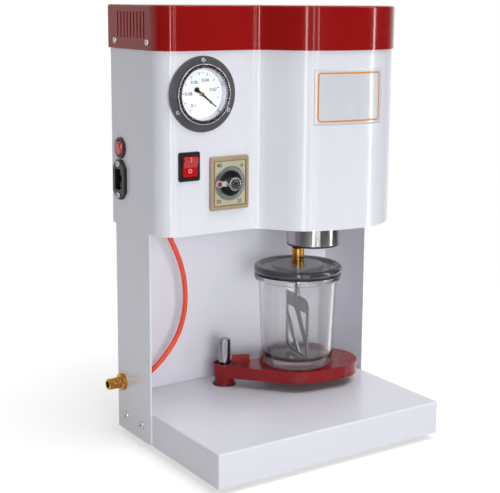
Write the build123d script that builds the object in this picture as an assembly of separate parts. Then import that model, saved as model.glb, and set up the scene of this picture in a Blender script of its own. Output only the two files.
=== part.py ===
from build123d import *

import math
import os

# Dental vacuum mixer on a bench: a base with a column behind it, a head with a gear motor,
# a mixing chuck under the head and a swinging arm that carries the mixing cup.
# Millimetres. X to the right, Y to the back, Z up. The origin is the middle of the
# footprint, on the bench that the feet stand on.

# Base, column and head: overall sizes
BASE_W = 306.0
BASE_D = 226.0
BASE_H = 38.5
SHEET = 1.5
FOLD_R = 2.0
FOOT_H = 7.0
FOOT_TOP_R = 11.0
FOOT_TIP_R = 9.0
FOOT_INSET = 30.0
BOTTOM_T = 1.0
BOTTOM_INSET = 5.0
BOTTOM_CORNER_R = 4.0
BOTTOM_SCREW_INSET = 4.0
FOOT_RIM = 3.0
FOOT_DISH = 1.0
BASE_FLANGE = 14.0
COLUMN_DEPTH = 82.0
COLUMN_H = 279.0
COLUMN_SCREWS_FROM_BACK = (22.0, 60.0)
COLUMN_SCREW_LIFT = 18.0
HEAD_OVERHANG = 2.0
HEAD_FRONT = 119.8
HEAD_H = 220.5
HEAD_LIFT = 249.5
HEAD_CORNER_R = 24.0
HEAD_FLANGE = 14.0
WING_LIFT = 2.0
REAR_SCREWS_UP = 30.0
REAR_SCREWS_UNDER_CAP = 8.0
REAR_SCREWS_LOW = 12.0
REAR_COVER_LOW = 1.5
REAR_COVER_TOP = 1.0
REAR_COVER_CORNER_R = 3.0
BRACKET_T = 2.0
BRACKET_LEG = 18.0
BRACKET_INSET = 12.0
BRACKET_DROP = 6.0
FLOOR_T = 2.0
FLOOR_RECESS = 1.0
CAP_H = 48.5
CAP_LAP = 18.5
CAP_GAP = 0.5
CAP_FOLD_R = 2.4
CAP_VENTS = 9
CAP_VENT_W = 2.6
CAP_VENT_H = 29.0
CAP_VENT_PITCH = 7.6
CAP_VENT_FIRST = 22.0
CAP_VENT_DROP = 7.0
CAP_VENTS_RIGHT = 6
CAP_SCREW_LIFT = 8.5
CAP_SCREWS_FROM_BACK = 15.0
CAP_SCREW_LEFT = 29.8
CAP_SCREW_RIGHT = 60.0
PLATE_GAP = 0.2

# The head's front, seen from above: a flat, a step forward and a round bulge.
# Each arc is its radius and its turn in degrees, positive to the left going right.
STEP_IN_R = 30.1
STEP_IN_TURN = 54.0
STEP_RUN = 22.2
STEP_OUT_R = 59.4
STEP_OUT_TURN = 32.9
BULGE_LEFT_R = 164.7
BULGE_LEFT_TURN = 21.1
BULGE_NOSE_R = 78.0
BULGE_NOSE_TURN = 60.0
BULGE_RIGHT_R = 140.7
BULGE_RIGHT_TURN = 30.0

# Controls on the flat front, from its left edge and up from the bench
GAUGE_FROM_LEFT = 49.1
GAUGE_DROP = 95.2
GAUGE_FLANGE_R = 41.5
GAUGE_FLANGE_T = 2.0
GAUGE_BEZEL_R = 33.5
GAUGE_WINDOW_R = 29.0
GAUGE_BEZEL_T = 4.0
GAUGE_GLASS_T = 1.5
GAUGE_CASE_R = 31.0
GAUGE_DEPTH = 30.0
GAUGE_DIAL_SINK = 2.8
GAUGE_DIAL_T = 0.8
GAUGE_SCREW_R = 37.0
GAUGE_WALL = 1.0
GAUGE_PILLAR_R = 6.0
GAUGE_LIP_T = 1.0
GAUGE_LIP_W = 2.0
GAUGE_FLANGE_EDGE = 0.8
GAUGE_BEZEL_EDGE = 1.6
GAUGE_CASE_BACK = 1.5
GAUGE_LEDGE_T = 2.5
GAUGE_LEDGE_W = 2.0
NEEDLE_HUB_R = 3.5
NEEDLE_LENGTH = 24.0
NEEDLE_TAIL = 10.0
NEEDLE_T = 0.6
NEEDLE_REST_DEG = -38.0
NEEDLE_PIN_R = 1.2
NEEDLE_LIFT = 1.6
NEEDLE_HUB_H = 1.8
NEEDLE_PIN_REACH = 5.0
NEEDLE_ROOT_W = 3.0
NEEDLE_TIP_W = 0.7
TAIL_ROOT_W = 2.4
TAIL_END_W = 3.8
ROCKER_FROM_LEFT = 32.0
ROCKER_LIFT = 326.7
ROCKER_BEZEL_W = 26.8
ROCKER_BEZEL_H = 32.2
ROCKER_W = 17.5
ROCKER_H = 23.5
ROCKER_DEPTH = 20.0
ROCKER_TILT = 10.0
ROCKER_WALL = 2.2
ROCKER_GAP = 0.3
ROCKER_PROUD = 2.0
ROCKER_STAND = 4.2
ROCKER_BACK = 5.0
ROCKER_PIN_R = 1.5
ROCKER_PIN_L = 1.2
ROCKER_PIVOT_IN = 1.0
ROCKER_BEZEL_CORNER_R = 2.2
ROCKER_BEZEL_EDGE = 0.9
TIMER_FROM_LEFT = 82.7
TIMER_LIFT = 305.3
TIMER_W = 50.0
TIMER_H = 60.5
TIMER_PROUD = 4.5
TIMER_SEAT = 0.4
TIMER_DEPTH = 40.0
TIMER_FACE_W = 42.0
TIMER_FACE_H = 51.0
TIMER_DIAL_R = 19.5
TIMER_KNOB_R = 8.0
TIMER_KNOB_L = 11.0
TIMER_SKIRT_R = 13.5
TIMER_SHAFT_R = 3.0
TIMER_RIM = 2.5
TIMER_WALL = 2.0
TIMER_FACE_SINK = 0.6
TIMER_FACE_T = 1.2
TIMER_DIAL_T = 1.0
TIMER_CORNER_R = 3.0
TIMER_EDGE = 1.0
TIMER_DIAL_EDGE = 0.4
TIMER_SHAFT_REACH = 6.0
KNOB_EDGE = 1.2
POINTER_SHARE = 0.55
POINTER_W = 3.2
POINTER_INSET = 0.5
KNOB_GAP = 0.3
KNOB_SKIRT_T = 1.4

# Mains inlet and round switch on the head's left side, from the footprint's middle
SIDE_Y = 93.0
INLET_LIFT = 302.4
INLET_W = 28.0
INLET_H = 46.0
INLET_T = 4.0
INLET_CAVITY_W = 16.5
INLET_CAVITY_H = 24.0
INLET_CAVITY_D = 16.0
INLET_WALL = 2.4
INLET_SCREWS = 36.0
INLET_TIP_W = 9.0
INLET_SHOULDER = 9.0
INLET_PIN_W = 6.0
INLET_PIN_T = 2.0
INLET_PIN_L = 12.0
INLET_PIN_TAIL = 9.0
INLET_PIN_SPREAD = 7.0
INLET_PIN_ROWS = (2.5, -1.5)
INLET_TIP_R = 3.0
INLET_SHOULDER_R = 1.5
INLET_EDGE = 0.8
INLET_CAVITY_CUT = 4.0
SIDE_SWITCH_LIFT = 338.7
SIDE_SWITCH_R = 12.1
SIDE_SWITCH_HOLE_R = 8.9
SIDE_SWITCH_PROUD = 2.5
SIDE_SWITCH_DEPTH = 20.0
SIDE_ROCKER_R = 8.6
SIDE_PIN_R = 1.0
SIDE_PIN_OUT = 0.7
SIDE_SWITCH_WALL = 1.2
SIDE_SWITCH_EDGE = 1.2
SIDE_PIVOT_IN = 0.5
SIDE_ROCKER_CUT = 0.62
SIDE_ROCKER_BACK = 3.0
SIDE_ROCKER_EDGE = 1.5

# Hose fitting in the column's left side, and the hose inside the column
FITTING_Y = 98.0
FITTING_Z = 66.5
FITTING_NUT_R = 9.75
FITTING_NUT_L = 6.0
FITTING_NIPPLE_R = 6.65
FITTING_NIPPLE_L = 21.0
FITTING_BORE_R = 4.2
FITTING_SHANK_R = 6.0
FITTING_BARB_R = 3.6
HOSE_R = 3.0
FITTING_NECK = 2.0
FITTING_LOCK_T = 4.5
FITTING_GROOVE_SHARE = 0.35
FITTING_GROOVE_W = 1.5
FITTING_GROOVE_DEEP = 0.7
FITTING_BORE_STOP = 1.5
TUBE_R = 3.0
NIPPLE_L = 6.0
GROMMET_R = 6.5
GROMMET_BORE_R = 3.9
GROMMET_LIP = 1.5
MANIFOLD_LEFT = 14.0
MANIFOLD_RIGHT = 10.9
MANIFOLD_D = 20.0
MANIFOLD_H = 20.0
TUBE_BEND_X = -30.0
TUBE_BEND_RUN = 20.0
TUBE_RISE_R = 18.0
TUBE_CROSS_R = 15.0
MANIFOLD_BRACKET_T = 2.0
MANIFOLD_FOOT = 6.0
HOSE_ROUTE = [
    (-110.5, 78.0, 280.0),
    (-110.5, 78.0, 266.0),
    (-107.5, 78.6, 251.5),
    (-100.5, 79.8, 237.0),
    (-92.2, 81.5, 222.3),
    (-84.4, 83.2, 204.6),
    (-78.6, 84.8, 185.2),
    (-76.0, 86.4, 165.8),
    (-75.8, 88.0, 147.4),
    (-79.4, 89.6, 127.6),
    (-87.0, 91.2, 109.2),
    (-98.0, 92.8, 93.6),
    (-109.6, 94.6, 81.0),
    (-121.0, 96.6, 71.2),
    (-134.0, 98.0, 66.5),
    (-146.0, 98.0, 66.5),
]

# Mixing chuck and its drive, from the head's right side
CHUCK_FROM_RIGHT = 82.5
CHUCK_Y = 34.0
CHUCK_R = 32.0
CHUCK_WALL = 2.5
CHUCK_TOP_T = 4.0
CHUCK_DROP = 38.5
CHUCK_HOLE_R = 12.0
GASKET_T = 2.0
GASKET_W = 2.2
SPINDLE_R = 5.0
SPINDLE_TIP_RISE = 9.0
TIP_SIDE = 5.5
TIP_L = 12.0
BEARING_R = 9.5
BEARING_H = 6.0
RUNNING = 0.05
CHUCK_SCREW_PCR = 20.0
GEAR_MODULE = 1.0
GEAR_TEETH = 60
PINION_TEETH = 15
GEAR_W = 10.0
BACKLASH = 0.15
CASE_WALL = 3.0
CASE_BASE = 8.0
CASE_ROOM = 16.0
CASE_COVER = 4.0
MOTOR_R = 36.0
MOTOR_H = 75.0
MOTOR_WALL = 2.0
ROTOR_R = 22.0
MOTOR_SHAFT_R = 4.0
PINION_HOLE_R = 9.2
FAN_R = 30.0
PORT_FROM_AXIS = 25.0
PORT_REACH = 42.0
PORT_R = 1.5

# Post, swinging arm and cup
POST_OFF_X = -100.0
POST_OFF_Y = 43.4
POST_R = 7.4
POST_H = 57.5
POST_STUD_R = 5.0
POST_STUD_L = 9.0
WASHER_R = 15.0
WASHER_T = 0.8
BUSH_R = 9.5
BUSH_H = 25.0
BUSH_FLANGE_R = 13.2
BUSH_FLANGE_T = 0.8
SLEEVE_WALL = 2.8
SLEEVE_H = 21.7
ARM_SHEET = 1.8
STRAP_H = 15.0
STRAP_LIFT = 12.0
TRAY_T = 2.0
TRAY_LEFT_OFF = (0.5, 0.0)
TRAY_LEFT_R = 46.0
TRAY_RIGHT_OFF = (35.0, -6.5)
TRAY_RIGHT_R = 43.0
TRAY_NECK_OFF = -7.8
TAB_H = 11.5
LIP_H = 9.5
LIP_GAP = 1.0
LIP_SPAN = (125.0, 165.0)
TAB_START_OFF = (4.9, -8.85)
TAB_END_OFF = (25.0, -17.9)
TAB_SUNK = 0.5
CUP_OFF_X = -21.0
CUP_OFF_Y = 1.5
CUP_FOOT_R = 43.4
CUP_TOP_R = 47.7
CUP_H = 113.5
CUP_BOTTOM = 9.5
CUP_WALL = 4.0
CUP_FLANGE_R = 53.0
CUP_FLANGE_H = 7.0
LID_R = 53.75
LID_BEAD = 4.3
LID_GASKET_T = 1.2
LID_WEB = 4.5
LID_STEP = 1.3
LID_PLATEAU_R = 31.0
LID_PLATEAU_H = 3.5
LID_SPIGOT_R = 42.4
HUB_R = 7.4
HUB_H = 20.0
SOCKET_D = 12.0
SOCKET_GAP = 0.3
PADDLE_SHAFT_R = 3.0
PADDLE_SHAFT_END = 65.5
BLADE_HALF = 30.0
BLADE_H = 73.5
BLADE_T = 2.0
BLADE_BAR = 4.0
BLADE_LIFT = 11.0
BLADE_DEG = 260.0

# Fasteners: head radius, head height, shank radius, shank length
PAN_LARGE = (4.75, 2.2, 2.0, 8.0)
PAN_SMALL = (3.5, 1.8, 1.5, 6.0)
PAN_TINY = (2.6, 1.4, 1.2, 6.0)
HOLE_GAP = 0.2

# Places worked out from those sizes
BASE_Z = FOOT_H + BOTTOM_T
BASE_TOP = BASE_Z + BASE_H
BASE_X = BASE_W / 2
BASE_FRONT = -BASE_D / 2
COLUMN_BACK = BASE_D / 2
COLUMN_X = BASE_X + SHEET
COLUMN_FRONT = COLUMN_BACK - COLUMN_DEPTH
COLUMN_TOP = BASE_Z + COLUMN_H
HEAD_X = COLUMN_X + HEAD_OVERHANG
HEAD_BACK = COLUMN_BACK + HEAD_OVERHANG
HEAD_FLAT_Y = HEAD_BACK - HEAD_FRONT
HEAD_Z = BASE_Z + HEAD_LIFT
HEAD_TOP = HEAD_Z + HEAD_H
FLOOR_Z = HEAD_Z + FLOOR_RECESS
FLOOR_TOP = FLOOR_Z + FLOOR_T
CAP_Z = HEAD_TOP - CAP_LAP
CAP_TOP = CAP_Z + CAP_H
GAUGE_X = GAUGE_FROM_LEFT - HEAD_X
GAUGE_Z = CAP_TOP - GAUGE_DROP
ROCKER_X = ROCKER_FROM_LEFT - HEAD_X
ROCKER_Z = BASE_Z + ROCKER_LIFT
TIMER_X = TIMER_FROM_LEFT - HEAD_X
TIMER_Z = BASE_Z + TIMER_LIFT
INLET_Z = BASE_Z + INLET_LIFT
SIDE_SWITCH_Z = BASE_Z + SIDE_SWITCH_LIFT
CHUCK_X = HEAD_X - CHUCK_FROM_RIGHT
CHUCK_Z = FLOOR_Z - CHUCK_DROP
CASE_Z = FLOOR_TOP
COVER_Z = CASE_Z + CASE_BASE + CASE_ROOM
MOTOR_Z = COVER_Z + CASE_COVER
GEAR_Z = CASE_Z + CASE_BASE + 2.5
MOTOR_Y = CHUCK_Y + GEAR_MODULE * (GEAR_TEETH + PINION_TEETH) / 2
POST_X = CHUCK_X + POST_OFF_X
POST_Y = CHUCK_Y + POST_OFF_Y
WASHER_TOP = BASE_TOP + WASHER_T
SLEEVE_Z = WASHER_TOP + BUSH_FLANGE_T
SLEEVE_R = BUSH_R + RUNNING + SLEEVE_WALL
TRAY_TOP = BASE_TOP + STRAP_LIFT + STRAP_H
CUP_X = CHUCK_X + CUP_OFF_X
CUP_Y = CHUCK_Y + CUP_OFF_Y
TRAY_LEFT = (CUP_X + TRAY_LEFT_OFF[0], CUP_Y + TRAY_LEFT_OFF[1], TRAY_LEFT_R)
TRAY_RIGHT = (CUP_X + TRAY_RIGHT_OFF[0], CUP_Y + TRAY_RIGHT_OFF[1], TRAY_RIGHT_R)
CUP_TOP = TRAY_TOP + CUP_H
LID_Z = CUP_TOP + LID_GASKET_T
PLATEAU_TOP = LID_Z + LID_STEP + LID_WEB + LID_PLATEAU_H


# Basic forms, each placed by its true corners or ends. A cutter runs a millimetre or so past
# the faces that it cuts through.
def block(x0, x1, y0, y1, z0, z1):
    """A box between two corners."""
    middle = Pos((x0 + x1) / 2, (y0 + y1) / 2, (z0 + z1) / 2)
    return middle * Box(x1 - x0, y1 - y0, z1 - z0)


def front_block(x, z, half_w, half_h, y0, y1):
    """A box centred at x and z on the head's front, from y0 to y1."""
    return block(x - half_w, x + half_w, y0, y1, z - half_h, z + half_h)


def rod(x, y, z0, z1, r):
    """An upright cylinder."""
    return Pos(x, y, (z0 + z1) / 2) * Cylinder(r, z1 - z0)


def rod_x(x0, x1, y, z, r):
    """A cylinder along X."""
    return Pos((x0 + x1) / 2, y, z) * Rot(0, 90, 0) * Cylinder(r, x1 - x0)


def rod_y(y0, y1, x, z, r):
    """A cylinder along Y."""
    return Pos(x, (y0 + y1) / 2, z) * Rot(90, 0, 0) * Cylinder(r, y1 - y0)


def slab(sketch, z0, z1):
    """A sketch in the XY plane, raised from one height to another."""
    return Pos(0, 0, z0) * extrude(sketch, z1 - z0)


def turned(x, y, profile):
    """A closed profile of (radius, height, fillet) turned about the upright line at x, y."""
    points = [(r, z) for r, z, _ in profile]
    radii = [fillet_r for _, _, fillet_r in profile]
    face = Plane.XZ * make_face(FilletPolyline(*points, radius=radii, close=True))
    return Pos(x, y, 0) * revolve(face, Axis.Z)


def outline(points):
    """A face inside a closed outline of (x, y, fillet) corners."""
    places = [(x, y) for x, y, _ in points]
    return make_face(FilletPolyline(*places, radius=[r for _, _, r in points], close=True))


def screw(kind, at, turn, recess=True):
    """A pan-head screw whose head stands on the point at, with its shank behind.

    turn is the rotation that takes the head's direction from +Z to where it looks.
    """
    head_r, head_h, shank_r, shank_l = kind
    head = turned(0, 0, [(0, 0, 0), (head_r, 0, 0), (head_r, head_h, head_h * 0.8), (0, head_h, 0)])
    shape = head + rod(0, 0, -shank_l, 0.0, shank_r)
    if recess:
        arm, half = head_r * 0.5, head_r * 0.13
        deep = head_h * 0.45
        shape -= block(-arm, arm, -half, half, deep, head_h + 1)
        shape -= block(-half, half, -arm, arm, deep, head_h + 1)
    return Pos(*at) * turn * shape


TO_LEFT = Rot(0, -90, 0)
TO_RIGHT = Rot(0, 90, 0)
TO_FRONT = Rot(90, 0, 0)
TO_BACK = Rot(-90, 0, 0)
DOWN = Rot(180, 0, 0)


# Head outline
def head_steps(back):
    """Runs and arcs of the head's outline, from its rear left corner round the front."""
    arcs = [
        (STEP_IN_R, -STEP_IN_TURN),
        (STEP_OUT_R, STEP_OUT_TURN),
        (BULGE_LEFT_R, BULGE_LEFT_TURN),
        (BULGE_NOSE_R, BULGE_NOSE_TURN),
        (BULGE_RIGHT_R, BULGE_RIGHT_TURN),
    ]
    heading, across, along = 0.0, 0.0, 0.0
    for number, (radius, turn) in enumerate(arcs):
        after = heading + math.radians(turn)
        side = math.copysign(radius, turn)
        across += side * (math.sin(after) - math.sin(heading))
        along += side * (math.cos(heading) - math.cos(after))
        heading = after
        if number == 0:
            across += STEP_RUN * math.cos(heading)
            along += STEP_RUN * math.sin(heading)
    left = back - HEAD_FLAT_Y - HEAD_CORNER_R
    flat = 2 * HEAD_X - HEAD_CORNER_R - across
    right = back - HEAD_FLAT_Y - along
    steps = [(left, None), (HEAD_CORNER_R, 90.0), (flat, None), arcs[0], (STEP_RUN, None)]
    return steps + arcs[1:] + [(right, None)]


def head_face(grow=0.0, grow_back=0.0):
    """The head's outline as a face, moved outwards by grow, and at the rear by grow_back."""
    back = HEAD_BACK + grow_back
    x, y, heading = -HEAD_X - grow, back, -math.pi / 2
    edges = []
    for size, turn in head_steps(back):
        if turn is None:
            end = (x + size * math.cos(heading), y + size * math.sin(heading))
            edges.append(Line((x, y), end))
            x, y = end
            continue
        sense = math.copysign(1, turn)
        side = sense * (size + sense * grow)
        points = []
        for share in (0.5, 1.0):
            angle = heading + math.radians(turn) * share
            px = x + side * (math.sin(angle) - math.sin(heading))
            py = y + side * (math.cos(heading) - math.cos(angle))
            points.append((px, py))
        edges.append(ThreePointArc((x, y), points[0], points[1]))
        x, y = points[1]
        heading += math.radians(turn)
    edges.append(Line((x, y), (-HEAD_X - grow, back)))
    return make_face(edges)


# Base and column
def base_pan():
    """Folded box, open below, with a flange turned in round its lower edge."""
    back = COLUMN_BACK - SHEET
    outer = block(-BASE_X, BASE_X, BASE_FRONT, back, BASE_Z, BASE_TOP)
    folded = [e for e in outer.edges() if e.center().Z > BASE_Z + 1]
    outer = fillet(folded, FOLD_R)
    side, front, rear = BASE_X - SHEET, BASE_FRONT + SHEET, back - SHEET
    inner = block(-side, side, front, rear, BASE_Z - 1, BASE_TOP - SHEET)
    corners = [e for e in inner.edges() if e.center().Z > BASE_Z + 1]
    pan = outer - fillet(corners, FOLD_R - SHEET)
    flange = block(-side, side, front, rear, BASE_Z, BASE_Z + SHEET)
    middle = BASE_FLANGE
    flange -= block(
        -BASE_X + middle, BASE_X - middle, BASE_FRONT + middle, back - middle, BASE_Z - 1, BASE_Z + SHEET + 1
    )
    pan += flange
    for x, y in bottom_screw_places():
        pan -= rod(x, y, BASE_Z - 1, BASE_Z + SHEET + 1, PAN_SMALL[2] + HOLE_GAP)
    pan -= rod(POST_X, POST_Y, BASE_TOP - SHEET - 1, BASE_TOP + 1, POST_STUD_R + HOLE_GAP)
    for y, z in column_screw_places():
        for side in (-1, 1):
            pan -= rod_x(side * BASE_X - 4, side * BASE_X + 4, y, z, PAN_LARGE[2] + HOLE_GAP)
    return pan


def bottom_screw_places():
    """Screws that hold the bottom plate to the base's flange."""
    inset = BASE_FLANGE - BOTTOM_SCREW_INSET
    x = BASE_X - inset
    front, back = BASE_FRONT + inset, COLUMN_BACK - SHEET - inset
    return [(px, py) for px in (-x, 0, x) for py in (front, back)]


def column_screw_places():
    """Screws through the column's sides into the base, as (y, z)."""
    return [(COLUMN_BACK - inset, BASE_Z + COLUMN_SCREW_LIFT) for inset in COLUMN_SCREWS_FROM_BACK]


def bottom_plate():
    """Flat plate under the base."""
    back = COLUMN_BACK - SHEET
    inset = BOTTOM_INSET
    plate = block(-BASE_X + inset, BASE_X - inset, BASE_FRONT + inset, back - inset, FOOT_H, BASE_Z)
    plate = fillet(plate.edges().filter_by(Axis.Z), BOTTOM_CORNER_R)
    for x, y in bottom_screw_places():
        plate -= rod(x, y, FOOT_H - 1, BASE_Z + 1, PAN_SMALL[2] + HOLE_GAP)
    return plate


def bottom_screws():
    """Six pan-head screws, heads down."""
    return [screw(PAN_SMALL, (x, y, FOOT_H), DOWN) for x, y in bottom_screw_places()]


def rubber_feet():
    """Four tapered feet with a dished sole."""
    x = BASE_X - FOOT_INSET
    feet = []
    for px in (-x, x):
        for py in (BASE_FRONT + FOOT_INSET, COLUMN_BACK - FOOT_INSET):
            profile = [
                (0, FOOT_DISH, 0),
                (FOOT_TIP_R - FOOT_RIM, FOOT_DISH, 0.5),
                (FOOT_TIP_R - FOOT_RIM, 0, 0),
                (FOOT_TIP_R, 0, 0.8),
                (FOOT_TOP_R, FOOT_H, 0),
                (0, FOOT_H, 0),
            ]
            feet.append(turned(px, py, profile))
    return feet


def column():
    """Folded U: a back panel and two side flanges, from the base up into the head."""
    outer = block(-COLUMN_X, COLUMN_X, COLUMN_FRONT, COLUMN_BACK, BASE_Z, COLUMN_TOP)
    outer = fillet([e for e in outer.edges().filter_by(Axis.Z) if e.center().Y > 0], FOLD_R)
    inner = block(-BASE_X, BASE_X, COLUMN_FRONT - 1, COLUMN_BACK - SHEET, BASE_Z - 1, COLUMN_TOP + 1)
    inner = fillet([e for e in inner.edges().filter_by(Axis.Z) if e.center().Y > 0], FOLD_R - SHEET)
    panel = outer - inner
    for y, z in column_screw_places():
        for side in (-1, 1):
            panel -= rod_x(side * COLUMN_X - 4, side * COLUMN_X + 4, y, z, PAN_LARGE[2] + HOLE_GAP)
    panel -= rod_x(-COLUMN_X - 4, -COLUMN_X + 4, FITTING_Y, FITTING_Z, FITTING_SHANK_R + HOLE_GAP)
    for x, z in rear_cover_screws_low():
        panel -= rod_y(COLUMN_BACK - 4, COLUMN_BACK + 1, x, z, PAN_SMALL[2] + HOLE_GAP)
    return panel


def column_screws():
    """Two large pan-head screws in each side of the column."""
    made = []
    for y, z in column_screw_places():
        made.append(screw(PAN_LARGE, (-COLUMN_X, y, z), TO_LEFT))
        made.append(screw(PAN_LARGE, (COLUMN_X, y, z), TO_RIGHT))
    return made


# Head casing
def rear_cover_screws_high():
    """Upper screws of the rear cover, into the shell's return flanges, as (x, z)."""
    x = HEAD_X - SHEET - HEAD_FLANGE / 2
    low, high = COLUMN_TOP + REAR_SCREWS_UP, CAP_Z - REAR_SCREWS_UNDER_CAP
    heights = (low, (COLUMN_TOP + HEAD_TOP) / 2, high)
    return [(side * x, z) for side in (-1, 1) for z in heights]


def rear_cover_screws_low():
    """Lower screws of the rear cover, into the column's back, as (x, z)."""
    x = HEAD_X - SHEET - HEAD_FLANGE / 2
    return [(-x, HEAD_Z + REAR_SCREWS_LOW), (x, HEAD_Z + REAR_SCREWS_LOW)]


def cap_screw_places():
    """Screws through the cap's sides, as (side, y, z)."""
    z, rear = CAP_Z + CAP_SCREW_LIFT, HEAD_BACK - CAP_SCREWS_FROM_BACK
    left, right = HEAD_FLAT_Y + CAP_SCREW_LEFT, HEAD_FLAT_Y + CAP_SCREW_RIGHT
    return [(-1, rear, z), (-1, left, z), (1, rear, z), (1, right, z)]


def head_shell():
    """Wrapped wall of the head, open above and below, with cutouts for what it carries."""
    shell = slab(head_face(), HEAD_Z, HEAD_TOP)
    shell -= slab(head_face(-SHEET, 1.0), HEAD_Z - 1, HEAD_TOP + 1)
    inside, flange_back = HEAD_X - SHEET, COLUMN_BACK
    for side in (-1, 1):
        low, high = sorted((side * inside, side * (inside - HEAD_FLANGE)))
        wing_z = COLUMN_TOP + WING_LIFT
        shell += block(low, high, flange_back - SHEET, flange_back, wing_z, HEAD_TOP)
    for x, z in rear_cover_screws_high():
        shell -= rod_y(flange_back - SHEET - 1, flange_back + 1, x, z, PAN_SMALL[2] + HOLE_GAP)
    for side, y, z in cap_screw_places():
        shell -= rod_x(side * HEAD_X - 4, side * HEAD_X + 4, y, z, PAN_SMALL[2] + HOLE_GAP)
    front, behind = HEAD_FLAT_Y - 2, HEAD_FLAT_Y + SHEET + 2
    shell -= rod_y(front, behind, GAUGE_X, GAUGE_Z, GAUGE_CASE_R + PLATE_GAP)
    for x, z in gauge_screw_places():
        shell -= rod_y(front, behind, x, z, PAN_TINY[2] + HOLE_GAP)
    half_w, half_h = ROCKER_W / 2 + ROCKER_WALL + PLATE_GAP, ROCKER_H / 2 + ROCKER_WALL + PLATE_GAP
    shell -= front_block(ROCKER_X, ROCKER_Z, half_w, half_h, front, behind)
    half_w, half_h = TIMER_W / 2 - TIMER_RIM + PLATE_GAP, TIMER_H / 2 - TIMER_RIM + PLATE_GAP
    shell -= front_block(TIMER_X, TIMER_Z, half_w, half_h, front, behind)
    half_w, half_h = INLET_CAVITY_W / 2 + INLET_WALL + PLATE_GAP, INLET_CAVITY_H / 2 + INLET_WALL + PLATE_GAP
    out, inner = -HEAD_X - 2, -HEAD_X + SHEET + 2
    shell -= block(out, inner, SIDE_Y - half_w, SIDE_Y + half_w, INLET_Z - half_h, INLET_Z + half_h)
    for z in inlet_screw_heights():
        shell -= rod_x(out, inner, SIDE_Y, z, PAN_SMALL[2] + HOLE_GAP)
    shell -= rod_x(out, inner, SIDE_Y, SIDE_SWITCH_Z, SIDE_SWITCH_HOLE_R + SIDE_SWITCH_WALL + PLATE_GAP)
    return shell


def gauge_screw_places():
    """Three screws round the gauge, one at the top, as (x, z)."""
    angles = [math.radians(a) for a in (90, 210, 330)]
    return [(GAUGE_X + GAUGE_SCREW_R * math.cos(a), GAUGE_Z + GAUGE_SCREW_R * math.sin(a)) for a in angles]


def inlet_screw_heights():
    """Heights of the mains inlet's two screws."""
    return [INLET_Z - INLET_SCREWS / 2, INLET_Z + INLET_SCREWS / 2]


def head_floor():
    """Plate that closes the head below, notched round the column."""
    plate = slab(head_face(-SHEET - PLATE_GAP, COLUMN_BACK - SHEET - PLATE_GAP - HEAD_BACK), FLOOR_Z, FLOOR_TOP)
    for side in (-1, 1):
        low, high = sorted((side * (BASE_X - PLATE_GAP), side * (HEAD_X + 5)))
        plate -= block(low, high, COLUMN_FRONT - PLATE_GAP, HEAD_BACK + 5, FLOOR_Z - 1, FLOOR_TOP + 1)
    plate -= rod(CHUCK_X, CHUCK_Y, FLOOR_Z - 1, FLOOR_TOP + 1, CHUCK_HOLE_R)
    for x, y in chamber_screw_places():
        plate -= rod(x, y, FLOOR_Z - 1, FLOOR_TOP + 1, PAN_SMALL[2] + HOLE_GAP)
    x, y = grommet_place()
    plate -= rod(x, y, FLOOR_Z - 1, FLOOR_TOP + 1, GROMMET_R)
    return plate


def grommet_place():
    """Where the hose passes the head's floor."""
    above, below = Vector(*HOSE_ROUTE[1]), Vector(*HOSE_ROUTE[2])
    share = (above.Z - (FLOOR_Z + FLOOR_T / 2)) / (above.Z - below.Z)
    place = above + (below - above) * share
    return place.X, place.Y


def hose_grommet():
    """Rubber ring in the floor round the hose."""
    x, y = grommet_place()
    low, high, lip = FLOOR_Z - GROMMET_LIP, FLOOR_TOP + GROMMET_LIP, GROMMET_R + GROMMET_LIP
    ring = rod(x, y, low, FLOOR_Z, lip) + rod(x, y, FLOOR_Z, FLOOR_TOP, GROMMET_R)
    ring += rod(x, y, FLOOR_TOP, high, lip)
    return ring - rod(x, y, low - 1, high + 1, GROMMET_BORE_R)


def head_brackets():
    """Two angles that tie the head's floor to the column's sides."""
    made = []
    y0, y1 = COLUMN_FRONT + BRACKET_INSET, COLUMN_BACK - BRACKET_INSET
    for side in (-1, 1):
        low, high = sorted((side * BASE_X, side * (BASE_X - BRACKET_T)))
        upright = block(low, high, y0, y1, FLOOR_TOP, COLUMN_TOP - BRACKET_DROP)
        low, high = sorted((side * BASE_X, side * (BASE_X - BRACKET_LEG)))
        angle = upright + block(low, high, y0, y1, FLOOR_TOP, FLOOR_TOP + BRACKET_T)
        made.append(angle)
    return made


def rear_cover():
    """Flat plate that closes the head behind."""
    x = HEAD_X - SHEET - PLATE_GAP
    low, high = HEAD_Z + REAR_COVER_LOW, HEAD_TOP - REAR_COVER_TOP
    plate = block(-x, x, COLUMN_BACK, COLUMN_BACK + SHEET, low, high)
    plate = fillet(plate.edges().filter_by(Axis.Y), REAR_COVER_CORNER_R)
    for px, z in rear_cover_screws_high() + rear_cover_screws_low():
        plate -= rod_y(COLUMN_BACK - 1, COLUMN_BACK + SHEET + 1, px, z, PAN_SMALL[2] + HOLE_GAP)
    return plate


def rear_cover_screws():
    """Pan-head screws of the rear cover."""
    back = COLUMN_BACK + SHEET
    places = rear_cover_screws_high() + rear_cover_screws_low()
    return [screw(PAN_SMALL, (x, back, z), TO_BACK) for x, z in places]


def cap_vent_places(side):
    """Y of each upright vent slot in one side of the cap."""
    first = HEAD_BACK - CAP_VENT_FIRST
    count = CAP_VENTS if side < 0 else CAP_VENTS_RIGHT
    return [first - number * CAP_VENT_PITCH for number in range(count)]


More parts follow.
